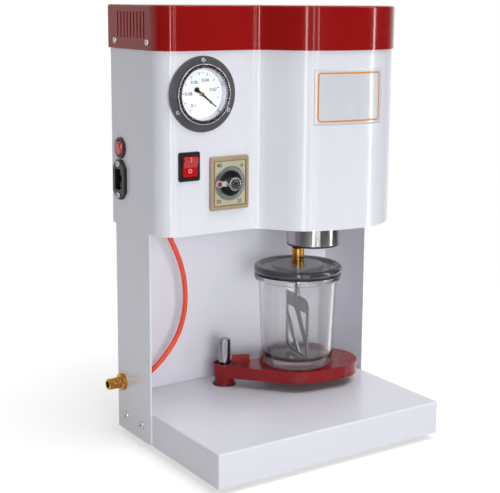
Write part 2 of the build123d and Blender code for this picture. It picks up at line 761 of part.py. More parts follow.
def top_cap():
    """Lid over the head, one folded and welded sheet with vent slots in its sides."""
    grow = CAP_GAP + SHEET
    cap = slab(head_face(grow, grow), CAP_Z, CAP_TOP)
    cap = fillet(cap.faces().sort_by(Axis.Z)[-1].edges(), CAP_FOLD_R)
    cap -= slab(head_face(CAP_GAP, CAP_GAP), CAP_Z - 1, CAP_TOP - SHEET)
    slot_z = CAP_TOP - CAP_VENT_DROP - CAP_VENT_H / 2
    for side in (-1, 1):
        for y in cap_vent_places(side):
            cutter = Pos(side * (HEAD_X + 1), y, slot_z) * Rot(0, 90, 0)
            cap -= cutter * extrude(SlotOverall(CAP_VENT_H, CAP_VENT_W), 8, both=True)
    for side, y, z in cap_screw_places():
        cap -= rod_x(side * HEAD_X - 6, side * HEAD_X + 6, y, z, PAN_SMALL[2] + HOLE_GAP)
    return cap


def top_cap_screws():
    """Two screws in each side of the cap."""
    out = HEAD_X + CAP_GAP + SHEET
    made = []
    for side, y, z in cap_screw_places():
        made.append(screw(PAN_SMALL, (side * out, y, z), TO_LEFT if side < 0 else TO_RIGHT))
    return made


# Vacuum gauge
def gauge_flange():
    """Mounting ring on the head's front."""
    face, out = HEAD_FLAT_Y, HEAD_FLAT_Y - GAUGE_FLANGE_T
    ring = rod_y(out, face, GAUGE_X, GAUGE_Z, GAUGE_FLANGE_R)
    ring = fillet(ring.faces().sort_by(Axis.Y)[0].edges(), GAUGE_FLANGE_EDGE)
    ring -= rod_y(out - 1, face + 1, GAUGE_X, GAUGE_Z, GAUGE_CASE_R)
    for x, z in gauge_screw_places():
        ring -= rod_y(out - 1, face + 1, x, z, PAN_TINY[2] + HOLE_GAP)
    return ring


def gauge_case():
    """Cup behind the dial, with a pillar for the needle's pin and a nipple at the rear."""
    front, back = HEAD_FLAT_Y - GAUGE_FLANGE_T, HEAD_FLAT_Y + GAUGE_DEPTH
    case = rod_y(front, back, GAUGE_X, GAUGE_Z, GAUGE_CASE_R)
    case -= rod_y(front - 1, back - GAUGE_CASE_BACK, GAUGE_X, GAUGE_Z, GAUGE_CASE_R - GAUGE_WALL)
    case += rod_y(dial_back(), back - GAUGE_CASE_BACK / 2, GAUGE_X, GAUGE_Z, GAUGE_PILLAR_R)
    pin_end = dial_back() + NEEDLE_PIN_REACH + 1
    case -= rod_y(dial_back() - 1, pin_end, GAUGE_X, GAUGE_Z, NEEDLE_PIN_R + RUNNING)
    case += rod_y(back, back + NIPPLE_L, GAUGE_X, GAUGE_Z, TUBE_R)
    ledge_end, ledge_r = dial_back() + GAUGE_LEDGE_T, GAUGE_CASE_R - GAUGE_WALL - GAUGE_LEDGE_W
    ledge = rod_y(dial_back(), ledge_end, GAUGE_X, GAUGE_Z, GAUGE_CASE_R - GAUGE_WALL / 2)
    ledge -= rod_y(dial_back() - 1, ledge_end + 1, GAUGE_X, GAUGE_Z, ledge_r)
    return case + ledge


def dial_back():
    """Y of the gauge dial's rear face."""
    return HEAD_FLAT_Y + GAUGE_DIAL_SINK + GAUGE_DIAL_T


def gauge_dial():
    """Printed disc with a hole for the needle's pin."""
    front = HEAD_FLAT_Y + GAUGE_DIAL_SINK
    disc = rod_y(front, dial_back(), GAUGE_X, GAUGE_Z, GAUGE_CASE_R - GAUGE_WALL)
    return disc - rod_y(front - 1, dial_back() + 1, GAUGE_X, GAUGE_Z, NEEDLE_PIN_R + HOLE_GAP)


def gauge_needle():
    """Tapered needle with a tail, a hub and its pin, turned to where it rests."""
    front = HEAD_FLAT_Y + GAUGE_DIAL_SINK
    flat = front - NEEDLE_LIFT
    root, tip = NEEDLE_ROOT_W / 2, NEEDLE_TIP_W / 2
    blade = make_face(
        Polyline((0, root), (NEEDLE_LENGTH, tip), (NEEDLE_LENGTH, -tip), (0, -root), (0, root))
    )
    root, tip = TAIL_ROOT_W / 2, TAIL_END_W / 2
    tail = make_face(
        Polyline((0, root), (-NEEDLE_TAIL, tip), (-NEEDLE_TAIL, -tip), (0, -root), (0, root))
    )
    plane = Plane(origin=(GAUGE_X, flat, GAUGE_Z), x_dir=(1, 0, 0), z_dir=(0, -1, 0))
    turned_plane = plane * Rot(0, 0, NEEDLE_REST_DEG)
    needle = turned_plane * extrude(blade + tail, NEEDLE_T)
    needle += rod_y(flat - NEEDLE_HUB_H, flat, GAUGE_X, GAUGE_Z, NEEDLE_HUB_R)
    return needle + rod_y(flat - 0.1, dial_back() + NEEDLE_PIN_REACH, GAUGE_X, GAUGE_Z, NEEDLE_PIN_R)


def gauge_bezel():
    """Bright ring that holds the glass, with a lip turned in over it."""
    back = HEAD_FLAT_Y - GAUGE_FLANGE_T
    front = back - GAUGE_BEZEL_T
    ring = rod_y(front, back, GAUGE_X, GAUGE_Z, GAUGE_BEZEL_R)
    ring = fillet(ring.faces().sort_by(Axis.Y)[0].edges(), GAUGE_BEZEL_EDGE)
    ring -= rod_y(front - 1, back + 1, GAUGE_X, GAUGE_Z, GAUGE_WINDOW_R)
    return ring - rod_y(front + GAUGE_LIP_T, back + 1, GAUGE_X, GAUGE_Z, GAUGE_WINDOW_R + GAUGE_LIP_W)


def gauge_glass():
    """Flat glass under the bezel's lip."""
    front = HEAD_FLAT_Y - GAUGE_FLANGE_T - GAUGE_BEZEL_T + GAUGE_LIP_T
    return rod_y(front, front + GAUGE_GLASS_T, GAUGE_X, GAUGE_Z, GAUGE_WINDOW_R + GAUGE_LIP_W)


def gauge_screws():
    """Three small screws in the gauge's flange."""
    out = HEAD_FLAT_Y - GAUGE_FLANGE_T
    return [screw(PAN_TINY, (x, out, z), TO_FRONT) for x, z in gauge_screw_places()]


# Front rocker switch
def rocker_pivot_y():
    """Y of the front rocker's pivot."""
    return HEAD_FLAT_Y + ROCKER_PIVOT_IN


def power_switch_body():
    """Bezel and housing of the front switch, hollow round the rocker."""
    front, back = HEAD_FLAT_Y - ROCKER_PROUD, HEAD_FLAT_Y + ROCKER_DEPTH
    half_w, half_h = ROCKER_BEZEL_W / 2, ROCKER_BEZEL_H / 2
    bezel = front_block(ROCKER_X, ROCKER_Z, half_w, half_h, front, HEAD_FLAT_Y)
    bezel = fillet(bezel.edges().filter_by(Axis.Y), ROCKER_BEZEL_CORNER_R)
    bezel = fillet(bezel.faces().sort_by(Axis.Y)[0].edges(), ROCKER_BEZEL_EDGE)
    half_w, half_h = ROCKER_W / 2 + ROCKER_WALL, ROCKER_H / 2 + ROCKER_WALL
    bezel += front_block(ROCKER_X, ROCKER_Z, half_w, half_h, HEAD_FLAT_Y, back)
    half_w, half_h = ROCKER_W / 2 + ROCKER_GAP, ROCKER_H / 2 + ROCKER_GAP
    deep = rocker_pivot_y() + ROCKER_H / 2 + ROCKER_GAP
    bezel -= front_block(ROCKER_X, ROCKER_Z, half_w, half_h, front - 1, deep)
    pin_x = ROCKER_W / 2 + ROCKER_PIN_L + ROCKER_GAP
    return bezel - rod_x(ROCKER_X - pin_x, ROCKER_X + pin_x, rocker_pivot_y(), ROCKER_Z, ROCKER_PIN_R + RUNNING)


def rocker_form(half_w, end_r, proud, thick):
    """A rocker about the X axis: a slice of a round bar with a hollow front face."""
    bar = rod_x(-half_w, half_w, 0, 0, end_r)
    lean = math.tan(math.radians(ROCKER_TILT))
    reach = end_r + 1
    side = make_face(
        Polyline(
            (-proud, 0), (-proud - reach * lean, reach), (thick, reach),
            (thick, -reach), (-proud - reach * lean, -reach), (-proud, 0),
        )
    )
    cutter = Plane(origin=(-half_w - 1, 0, 0), x_dir=(0, 1, 0), z_dir=(1, 0, 0)) * extrude(side, 2 * half_w + 2)
    return bar & cutter


def power_switch_rocker():
    """Rocker with its two pivot pins, off: its lower half pressed in."""
    rocker = rocker_form(ROCKER_W / 2, ROCKER_H / 2, ROCKER_STAND, ROCKER_BACK)
    pin_x = ROCKER_W / 2 + ROCKER_PIN_L
    rocker += rod_x(-pin_x, pin_x, 0, 0, ROCKER_PIN_R)
    return Pos(ROCKER_X, rocker_pivot_y(), ROCKER_Z) * Rot(ROCKER_TILT, 0, 0) * rocker


# Timer
def timer_case():
    """Bezel and box of the timer, with a bearing in its front wall for the knob's shaft."""
    front, back = HEAD_FLAT_Y - TIMER_PROUD, HEAD_FLAT_Y + TIMER_DEPTH
    half_w, half_h = TIMER_W / 2, TIMER_H / 2
    seat = HEAD_FLAT_Y - TIMER_SEAT
    case = front_block(TIMER_X, TIMER_Z, half_w, half_h, front, seat)
    case = fillet(case.edges().filter_by(Axis.Y), TIMER_CORNER_R)
    case = fillet(case.faces().sort_by(Axis.Y)[0].edges(), TIMER_EDGE)
    half_w, half_h = TIMER_W / 2 - TIMER_RIM, TIMER_H / 2 - TIMER_RIM
    case += front_block(TIMER_X, TIMER_Z, half_w, half_h, seat, back)
    half_w, half_h = half_w - TIMER_WALL, half_h - TIMER_WALL
    room = front + TIMER_FACE_SINK + TIMER_FACE_T + TIMER_WALL
    case -= front_block(TIMER_X, TIMER_Z, half_w, half_h, room, back - TIMER_WALL)
    half_w, half_h = TIMER_FACE_W / 2, TIMER_FACE_H / 2
    sunk = front + TIMER_FACE_SINK + TIMER_FACE_T
    case -= front_block(TIMER_X, TIMER_Z, half_w, half_h, front - 1, sunk)
    return case - rod_y(front, room + 1, TIMER_X, TIMER_Z, TIMER_SHAFT_R + RUNNING)


def timer_face_y():
    """Y of the timer face's front."""
    return HEAD_FLAT_Y - TIMER_PROUD + TIMER_FACE_SINK


def timer_face():
    """Pale plate in the timer's bezel."""
    half_w, half_h = TIMER_FACE_W / 2, TIMER_FACE_H / 2
    y = timer_face_y()
    plate = front_block(TIMER_X, TIMER_Z, half_w, half_h, y, y + TIMER_FACE_T)
    return plate - rod_y(y - 1, y + TIMER_FACE_T + 1, TIMER_X, TIMER_Z, TIMER_SHAFT_R + HOLE_GAP)


def timer_dial():
    """Fixed disc with the timer's scale."""
    y = timer_face_y()
    disc = rod_y(y - TIMER_DIAL_T, y, TIMER_X, TIMER_Z, TIMER_DIAL_R)
    disc = fillet(disc.faces().sort_by(Axis.Y)[0].edges(), TIMER_DIAL_EDGE)
    return disc - rod_y(y - TIMER_DIAL_T - 1, y + 1, TIMER_X, TIMER_Z, TIMER_SHAFT_R + HOLE_GAP)


def timer_knob():
    """Knob with its skirt, pointer and shaft, set to zero."""
    back = timer_face_y() - TIMER_DIAL_T - KNOB_GAP
    skirt = rod_y(back - KNOB_SKIRT_T, back, TIMER_X, TIMER_Z, TIMER_SKIRT_R)
    cap = rod_y(back - TIMER_KNOB_L, back - KNOB_SKIRT_T, TIMER_X, TIMER_Z, TIMER_KNOB_R)
    cap = fillet(cap.faces().sort_by(Axis.Y)[0].edges(), KNOB_EDGE)
    pointer_y, half = back - TIMER_KNOB_L * POINTER_SHARE, POINTER_W / 2
    tip = TIMER_X - TIMER_SKIRT_R + POINTER_INSET
    pointer = block(tip, TIMER_X, pointer_y, back - KNOB_SKIRT_T, TIMER_Z - half, TIMER_Z + half)
    shaft_end = timer_face_y() + TIMER_FACE_T + TIMER_WALL + TIMER_SHAFT_REACH
    shaft = rod_y(back, shaft_end, TIMER_X, TIMER_Z, TIMER_SHAFT_R)
    return skirt + cap + pointer + shaft


# Mains inlet and round switch in the head's left side
def inlet_flange_sketch():
    """Inlet flange seen from outside: straight sides and blunt points above and below."""
    half_w, half_h, tip, shoulder = INLET_W / 2, INLET_H / 2, INLET_TIP_W / 2, INLET_H / 2 - INLET_SHOULDER
    corners = [
        (-half_w, -shoulder, INLET_SHOULDER_R),
        (-tip, -half_h, INLET_TIP_R),
        (tip, -half_h, INLET_TIP_R),
        (half_w, -shoulder, INLET_SHOULDER_R),
        (half_w, shoulder, INLET_SHOULDER_R),
        (tip, half_h, INLET_TIP_R),
        (-tip, half_h, INLET_TIP_R),
        (-half_w, shoulder, INLET_SHOULDER_R),
    ]
    return outline(corners)


def left_side_plane(x, z):
    """Plane on the head's left side, looking outwards, at the controls' line."""
    return Plane(origin=(x, SIDE_Y, z), x_dir=(0, -1, 0), z_dir=(-1, 0, 0))


def mains_inlet():
    """Appliance inlet with a flange, screw holes and a socket cavity."""
    flange = left_side_plane(-HEAD_X, INLET_Z) * extrude(inlet_flange_sketch(), INLET_T)
    flange = fillet(flange.faces().sort_by(Axis.X)[0].edges(), INLET_EDGE)
    back = -HEAD_X + INLET_CAVITY_D - INLET_T + INLET_WALL
    half_w, half_h = INLET_CAVITY_W / 2 + INLET_WALL, INLET_CAVITY_H / 2 + INLET_WALL
    flange += block(-HEAD_X, back, SIDE_Y - half_w, SIDE_Y + half_w, INLET_Z - half_h, INLET_Z + half_h)
    half_w, half_h = INLET_CAVITY_W / 2, INLET_CAVITY_H / 2
    low, high = -HEAD_X - INLET_T - 1, -HEAD_X - INLET_T + INLET_CAVITY_D
    cavity = block(low, high, SIDE_Y - half_w, SIDE_Y + half_w, INLET_Z - half_h, INLET_Z + half_h)
    front_edges = [e for e in cavity.edges().filter_by(Axis.X) if e.center().Y < SIDE_Y]
    cavity = chamfer(front_edges, INLET_CAVITY_CUT)
    inlet = flange - cavity
    for x, y, z, half in inlet_pin_places():
        inlet -= block(high - 1, back + 1, y - INLET_PIN_T / 2, y + INLET_PIN_T / 2, z - half, z + half)
    for z in inlet_screw_heights():
        inlet -= rod_x(-HEAD_X - INLET_T - 1, -HEAD_X + 1, SIDE_Y, z, PAN_SMALL[2] + HOLE_GAP)
    return inlet


def inlet_pin_places():
    """The three flat pins: inner end X, Y, Z and half width."""
    floor = -HEAD_X - INLET_T + INLET_CAVITY_D
    outer, middle = SIDE_Y + INLET_PIN_ROWS[0], SIDE_Y + INLET_PIN_ROWS[1]
    rows = [(outer, -INLET_PIN_SPREAD), (middle, 0.0), (outer, INLET_PIN_SPREAD)]
    return [(floor, y, INLET_Z + dz, INLET_PIN_W / 2) for y, dz in rows]


def inlet_pins():
    """Three flat pins through the inlet's rear wall."""
    made = []
    for x, y, z, half in inlet_pin_places():
        near, far = y - INLET_PIN_T / 2, y + INLET_PIN_T / 2
        pin = block(x - INLET_PIN_L, x + INLET_PIN_TAIL, near, far, z - half, z + half)
        made.append(chamfer(pin.faces().sort_by(Axis.X)[0].edges(), 0.5))
    return made


def inlet_screws():
    """Two screws in the inlet's flange."""
    out = -HEAD_X - INLET_T
    return [screw(PAN_SMALL, (out, SIDE_Y, z), TO_LEFT) for z in inlet_screw_heights()]


def side_switch_pivot():
    """X of the round rocker's pivot."""
    return -HEAD_X + SIDE_PIVOT_IN


def side_switch_body():
    """Round bezel and barrel of the side switch, hollow round its rocker."""
    out, back = -HEAD_X - SIDE_SWITCH_PROUD, -HEAD_X + SIDE_SWITCH_DEPTH
    bezel = rod_x(out, -HEAD_X, SIDE_Y, SIDE_SWITCH_Z, SIDE_SWITCH_R)
    bezel = fillet(bezel.faces().sort_by(Axis.X)[0].edges(), SIDE_SWITCH_EDGE)
    bezel += rod_x(-HEAD_X, back, SIDE_Y, SIDE_SWITCH_Z, SIDE_SWITCH_HOLE_R + SIDE_SWITCH_WALL)
    deep = side_switch_pivot() + SIDE_ROCKER_R + 1.0
    bezel -= rod_x(out - 1, deep, SIDE_Y, SIDE_SWITCH_Z, SIDE_SWITCH_HOLE_R)
    pin = SIDE_ROCKER_R + SIDE_PIN_OUT + HOLE_GAP
    return bezel - rod_y(SIDE_Y - pin, SIDE_Y + pin, side_switch_pivot(), SIDE_SWITCH_Z, SIDE_PIN_R + RUNNING)


def side_switch_rocker():
    """Domed round rocker with its pivot pins."""
    ball = Sphere(SIDE_ROCKER_R)
    reach = SIDE_ROCKER_R + 1
    ball &= block(-SIDE_ROCKER_R * SIDE_ROCKER_CUT, SIDE_ROCKER_BACK, -reach, reach, -reach, reach)
    front = ball.faces().sort_by(Axis.X)[0]
    ball = fillet(front.edges(), SIDE_ROCKER_EDGE)
    pin = SIDE_ROCKER_R + SIDE_PIN_OUT
    ball += rod_y(-pin, pin, 0, 0, SIDE_PIN_R)
    return Pos(side_switch_pivot(), SIDE_Y, SIDE_SWITCH_Z) * Rot(0, -ROCKER_TILT, 0) * ball


# Hose fitting and hose
def hose_fitting():
    """Brass fitting: a round nut outside, a nipple with its bore, a shank and a rear end for the hose."""
    out = -COLUMN_X
    nut = rod_x(out - FITTING_NUT_L, out, FITTING_Y, FITTING_Z, FITTING_NUT_R)
    nut = chamfer(nut.faces().sort_by(Axis.X)[0].edges(), 1.0)
    tip = out - FITTING_NIPPLE_L
    nipple = rod_x(tip, out - FITTING_NUT_L + 1, FITTING_Y, FITTING_Z, FITTING_NIPPLE_R)
    nipple = chamfer(nipple.faces().sort_by(Axis.X)[0].edges(), 0.8)
    groove_x = tip + FITTING_NIPPLE_L * FITTING_GROOVE_SHARE
    groove_end, groove_r = groove_x + FITTING_GROOVE_W, FITTING_NIPPLE_R - FITTING_GROOVE_DEEP
    groove = rod_x(groove_x, groove_end, FITTING_Y, FITTING_Z, FITTING_NIPPLE_R + 1)
    groove -= rod_x(groove_x - 1, groove_end + 1, FITTING_Y, FITTING_Z, groove_r)
    inner = HOSE_ROUTE[-1][0]
    shank = rod_x(out - 1, inner - FITTING_NECK, FITTING_Y, FITTING_Z, FITTING_SHANK_R)
    neck = rod_x(inner - FITTING_NECK - 1, inner, FITTING_Y, FITTING_Z, FITTING_BARB_R)
    bore = rod_x(tip - 1, inner - FITTING_NECK - FITTING_BORE_STOP, FITTING_Y, FITTING_Z, FITTING_BORE_R)
    return nut + nipple - groove + shank + neck - bore


def fitting_nut():
    """Hexagonal nut inside the column."""
    x0 = -BASE_X
    plane = Plane(origin=(x0, FITTING_Y, FITTING_Z), x_dir=(0, 1, 0), z_dir=(1, 0, 0))
    nut = plane * extrude(RegularPolygon(FITTING_NUT_R, 6), FITTING_LOCK_T)
    return nut - rod_x(x0 - 1, x0 + FITTING_LOCK_T + 1, FITTING_Y, FITTING_Z, FITTING_SHANK_R)


def tube(points, radii, r):
    """A round tube along straight runs joined by arcs; prints its volume against its length."""
    path = FilletPolyline(*points, radius=radii)
    start = Vector(*points[0])
    ahead = Vector(*points[1]) - start
    section = Plane(origin=start, z_dir=ahead) * Circle(r)
    made = sweep(section, path=path)
    wanted = math.pi * r * r * path.length
    print("tube length", round(path.length, 1), "volume over section x length", round(made.volume / wanted, 5))
    return made


def bend_radii(points):
    """Each corner's radius: 0.45 of its shorter run over the tangent of half its turn."""
    radii = []
    for before, at, after in zip(points, points[1:], points[2:]):
        first, second = Vector(*at) - Vector(*before), Vector(*after) - Vector(*at)
        half = math.radians(first.get_angle(second)) / 2
        radii.append(0.45 * min(first.length, second.length) / math.tan(half))
    return radii


def vacuum_hose():
    """Hose from the manifold in the head down to the fitting."""
    radii = bend_radii(HOSE_ROUTE)
    print("hose radii", [round(r, 1) for r in radii])
    return tube(HOSE_ROUTE, radii, HOSE_R)


# Chuck and drive
def belt(x0, y0, r0, x1, y1, r1):
    """Sketch round two circles, as a belt would lie."""
    run, dx, dy = math.hypot(x1 - x0, y1 - y0), x1 - x0, y1 - y0
    lean, along = math.acos((r0 - r1) / run), math.atan2(dy, dx)
    corners = []
    for side in (1, -1):
        angle = along + side * lean
        c, s = math.cos(angle), math.sin(angle)
        pair = [(x0 + r0 * c, y0 + r0 * s), (x1 + r1 * c, y1 + r1 * s)]
        corners += pair if side > 0 else pair[::-1]
    band = make_face(Polyline(*corners, corners[0]))
    return band + Pos(x0, y0) * Circle(r0) + Pos(x1, y1) * Circle(r1)


def chamber_screw_places():
    """Three screws round the spindle, as (x, y)."""
    angles = [math.radians(a) for a in (30, 150, 270)]
    return [(CHUCK_X + CHUCK_SCREW_PCR * math.cos(a), CHUCK_Y + CHUCK_SCREW_PCR * math.sin(a)) for a in angles]


def port_cutter():
    """Drilled way from the gearbox's side port down into the chuck."""
    x, z = CHUCK_X - PORT_FROM_AXIS, CASE_Z + CASE_BASE / 2
    down = rod(x, CHUCK_Y, FLOOR_Z - CHUCK_TOP_T - 1, z, PORT_R)
    return down + rod_x(CHUCK_X - PORT_REACH - 1, x, CHUCK_Y, z, PORT_R)


def seal_chamber():
    """Bright cup, open below, that the lid of the mixing cup closes."""
    top, bottom = FLOOR_Z, CHUCK_Z + GASKET_T
    inner = CHUCK_R - CHUCK_WALL
    profile = [
        (CHUCK_HOLE_R, top, 0),
        (CHUCK_R, top, 0.5),
        (CHUCK_R, bottom, 0.5),
        (inner, bottom, 0),
        (inner, top - CHUCK_TOP_T, 1.0),
        (CHUCK_HOLE_R, top - CHUCK_TOP_T, 0),
    ]
    chamber = turned(CHUCK_X, CHUCK_Y, profile)
    for x, y in chamber_screw_places():
        chamber -= rod(x, y, top - CHUCK_TOP_T - 1, top + 1, PAN_SMALL[2] + HOLE_GAP)
    return chamber - port_cutter()


def chamber_gasket():
    """Rubber ring at the chuck's mouth."""
    ring = rod(CHUCK_X, CHUCK_Y, CHUCK_Z, CHUCK_Z + GASKET_T, CHUCK_R - 0.2)
    return ring - rod(CHUCK_X, CHUCK_Y, CHUCK_Z - 1, CHUCK_Z + GASKET_T + 1, CHUCK_R - 0.2 - GASKET_W)


def chamber_screws():
    """Long screws through the gearbox and the floor into the chuck's top."""
    kind = (PAN_SMALL[0], PAN_SMALL[1], PAN_SMALL[2], CASE_BASE + FLOOR_T + CHUCK_TOP_T - 1)
    z = CASE_Z + CASE_BASE
    return [screw(kind, (x, y, z), Rot(0, 0, 0)) for x, y in chamber_screw_places()]


def tooth_points(teeth, addendum, phase):
    """Outline of a spur gear, each tooth from a few points of the involute."""
    pitch_r = GEAR_MODULE * teeth / 2
    base_r = pitch_r * math.cos(math.radians(20))
    tip_r, root_r = pitch_r + addendum, pitch_r - 1.25 * GEAR_MODULE
    half = (math.pi * GEAR_MODULE / 2 - BACKLASH / 2) / (2 * pitch_r)
    roll = math.sqrt((pitch_r / base_r) ** 2 - 1)
    offset = half + roll - math.atan(roll)
    start_r = max(base_r, root_r)
    flank = []
    for step in range(4):
        r = start_r + (tip_r - start_r) * step / 3
        at = math.sqrt(max((r / base_r) ** 2 - 1, 0.0))
        flank.append((r, offset - (at - math.atan(at))))
    if root_r < start_r - 1e-6:
        flank.insert(0, (root_r, flank[0][1]))
    points = []
    for number in range(teeth):
        middle = phase + 2 * math.pi * number / teeth
        for r, angle in flank:
            points.append((r * math.cos(middle - angle), r * math.sin(middle - angle)))
        for r, angle in reversed(flank):
            points.append((r * math.cos(middle + angle), r * math.sin(middle + angle)))
    return points


def gear(teeth, addendum, phase, x, y, z0, z1):
    """A spur gear placed on its axis."""
    points = tooth_points(teeth, addendum, phase)
    return Pos(x, y, 0) * slab(make_face(Polyline(*points, points[0])), z0, z1)


def output_gear():
    """Large gear on the spindle, with a hub below and lightening holes."""
    wheel = gear(GEAR_TEETH, 0.85 * GEAR_MODULE, math.pi / 2, CHUCK_X, CHUCK_Y, GEAR_Z, GEAR_Z + GEAR_W)
    wheel += rod(CHUCK_X, CHUCK_Y, CASE_Z + 1 + BEARING_H + 0.2, GEAR_Z + 1, SPINDLE_R + 2.0)
    for number in range(6):
        angle = math.radians(60 * number)
        x, y = CHUCK_X + 18 * math.cos(angle), CHUCK_Y + 18 * math.sin(angle)
        wheel -= rod(x, y, GEAR_Z - 1, GEAR_Z + GEAR_W + 1, 5.0)
    return wheel - rod(CHUCK_X, CHUCK_Y, CASE_Z, COVER_Z, SPINDLE_R)


def drive_spindle():
    """Spindle with a square driving tip below."""
    tip_z = CHUCK_Z + SPINDLE_TIP_RISE
    shoulder = tip_z + TIP_L
    shaft = rod(CHUCK_X, CHUCK_Y, shoulder, COVER_Z + 2.8, SPINDLE_R)
    half = TIP_SIDE / 2
    tip = block(CHUCK_X - half, CHUCK_X + half, CHUCK_Y - half, CHUCK_Y + half, tip_z, shoulder + 0.5)
    return shaft + chamfer(tip.faces().sort_by(Axis.Z)[0].edges(), 0.8)


def spindle_bearings():
    """Two plain bearing rings, one in the case and one in the cover."""
    made = []
    for z in (CASE_Z + 1, COVER_Z - 3):
        ring = rod(CHUCK_X, CHUCK_Y, z, z + BEARING_H, BEARING_R)
        made.append(ring - rod(CHUCK_X, CHUCK_Y, z - 1, z + BEARING_H + 1, SPINDLE_R + RUNNING))
    return made


def gearbox_case():
    """Cast case on the head's floor, with a bearing seat and the vacuum port."""
    outer = belt(CHUCK_X, CHUCK_Y, MOTOR_R, CHUCK_X, MOTOR_Y, MOTOR_R)
    case = slab(outer, CASE_Z, COVER_Z)
    room = belt(CHUCK_X, CHUCK_Y, MOTOR_R - CASE_WALL, CHUCK_X, MOTOR_Y, 14.0)
    case -= slab(room, CASE_Z + CASE_BASE, COVER_Z + 1)
    case -= rod(CHUCK_X, CHUCK_Y, CASE_Z - 1, CASE_Z + 2, SPINDLE_R + 0.3)
    case -= rod(CHUCK_X, CHUCK_Y, CASE_Z + 1, CASE_Z + CASE_BASE + 1, BEARING_R)
    case += rod_x(CHUCK_X - PORT_REACH, CHUCK_X - MOTOR_R + 2, CHUCK_Y, CASE_Z + CASE_BASE / 2, TUBE_R)
    for x, y in chamber_screw_places():
        case -= rod(x, y, CASE_Z - 1, CASE_Z + CASE_BASE + 1, PAN_SMALL[2] + HOLE_GAP)
    return case - port_cutter()


def gearbox_cover():
    """Cover of the gearbox, with the upper bearing seat and the motor's opening."""
    outer = belt(CHUCK_X, CHUCK_Y, MOTOR_R, CHUCK_X, MOTOR_Y, MOTOR_R)
    cover = slab(outer, COVER_Z, COVER_Z + CASE_COVER)
    cover += rod(CHUCK_X, CHUCK_Y, COVER_Z - 3, COVER_Z + 1, BEARING_R + 2.5)
    cover -= rod(CHUCK_X, CHUCK_Y, COVER_Z - 4, COVER_Z + 3, BEARING_R)
    return cover - rod(CHUCK_X, MOTOR_Y, COVER_Z - 1, COVER_Z + CASE_COVER + 1, PINION_HOLE_R)


def motor_case():
    """Motor housing with its stator ring and a bearing at each end."""
    top = MOTOR_Z + MOTOR_H
    case = rod(CHUCK_X, MOTOR_Y, MOTOR_Z, top, MOTOR_R)
    case = fillet(case.faces().sort_by(Axis.Z)[-1].edges(), 3.0)
    case -= rod(CHUCK_X, MOTOR_Y, MOTOR_Z + 3, top - MOTOR_WALL, MOTOR_R - MOTOR_WALL)
    stator = rod(CHUCK_X, MOTOR_Y, MOTOR_Z + 18, MOTOR_Z + 52, MOTOR_R - MOTOR_WALL / 2)
    case += stator - rod(CHUCK_X, MOTOR_Y, MOTOR_Z + 17, MOTOR_Z + 53, ROTOR_R + 1.0)
    for number in range(8):
        angle = math.radians(45 * number)
        x, y = CHUCK_X + 22 * math.cos(angle), MOTOR_Y + 22 * math.sin(angle)
        case -= rod(x, y, top - MOTOR_WALL - 1, top + 1, 3.5)
    return case - rod(CHUCK_X, MOTOR_Y, MOTOR_Z - 1, top + 1, MOTOR_SHAFT_R + RUNNING)


def motor_rotor():
    """Motor shaft with its pinion, core and fan."""
    top = MOTOR_Z + MOTOR_H
    shaft = rod(CHUCK_X, MOTOR_Y, GEAR_Z - 1, top + 2, MOTOR_SHAFT_R)
    phase = -math.pi / 2 + math.pi / PINION_TEETH
    shaft += gear(PINION_TEETH, GEAR_MODULE, phase, CHUCK_X, MOTOR_Y, GEAR_Z, GEAR_Z + GEAR_W)
    shaft += rod(CHUCK_X, MOTOR_Y, MOTOR_Z + 18, MOTOR_Z + 52, ROTOR_R)
    shaft += rod(CHUCK_X, MOTOR_Y, MOTOR_Z + 56, MOTOR_Z + 57.5, FAN_R)
    for number in range(8):
        blade = block(8, FAN_R - 1, -0.6, 0.6, MOTOR_Z + 57, MOTOR_Z + 66)
        shaft += Pos(CHUCK_X, MOTOR_Y, 0) * Rot(0, 0, 45 * number) * blade
    return shaft


def manifold_ends():
    """Left and right end of the valve block, which spans its hose and gauge nipples."""
    nipples = (HOSE_ROUTE[0][0], GAUGE_X)
    return min(nipples) - MANIFOLD_LEFT, max(nipples) + MANIFOLD_RIGHT


def vacuum_manifold():
    """Valve block with three nipples, on a bracket that stands on the head's floor."""
    hose_x, hose_y, hose_z = HOSE_ROUTE[0]
    low, high = hose_z + NIPPLE_L, hose_z + NIPPLE_L + MANIFOLD_H
    x0, x1 = manifold_ends()
    y0, y1 = hose_y - MANIFOLD_D / 2, hose_y + MANIFOLD_D / 2
    body = fillet(block(x0, x1, y0, y1, low, high).edges().filter_by(Axis.Z), 2.0)
    body += rod(hose_x, hose_y, hose_z, low + 1, TUBE_R)
    body += rod(GAUGE_X, hose_y, high - 1, high + NIPPLE_L, TUBE_R)
    body += rod_x(x1 - 1, x1 + NIPPLE_L, hose_y, (low + high) / 2, TUBE_R)
    outer = x0 - MANIFOLD_BRACKET_T
    body += block(outer, x0, y0, y1, FLOOR_TOP, high)
    return body + block(outer, x0 + MANIFOLD_FOOT, y0, y1, FLOOR_TOP, FLOOR_TOP + MANIFOLD_BRACKET_T)


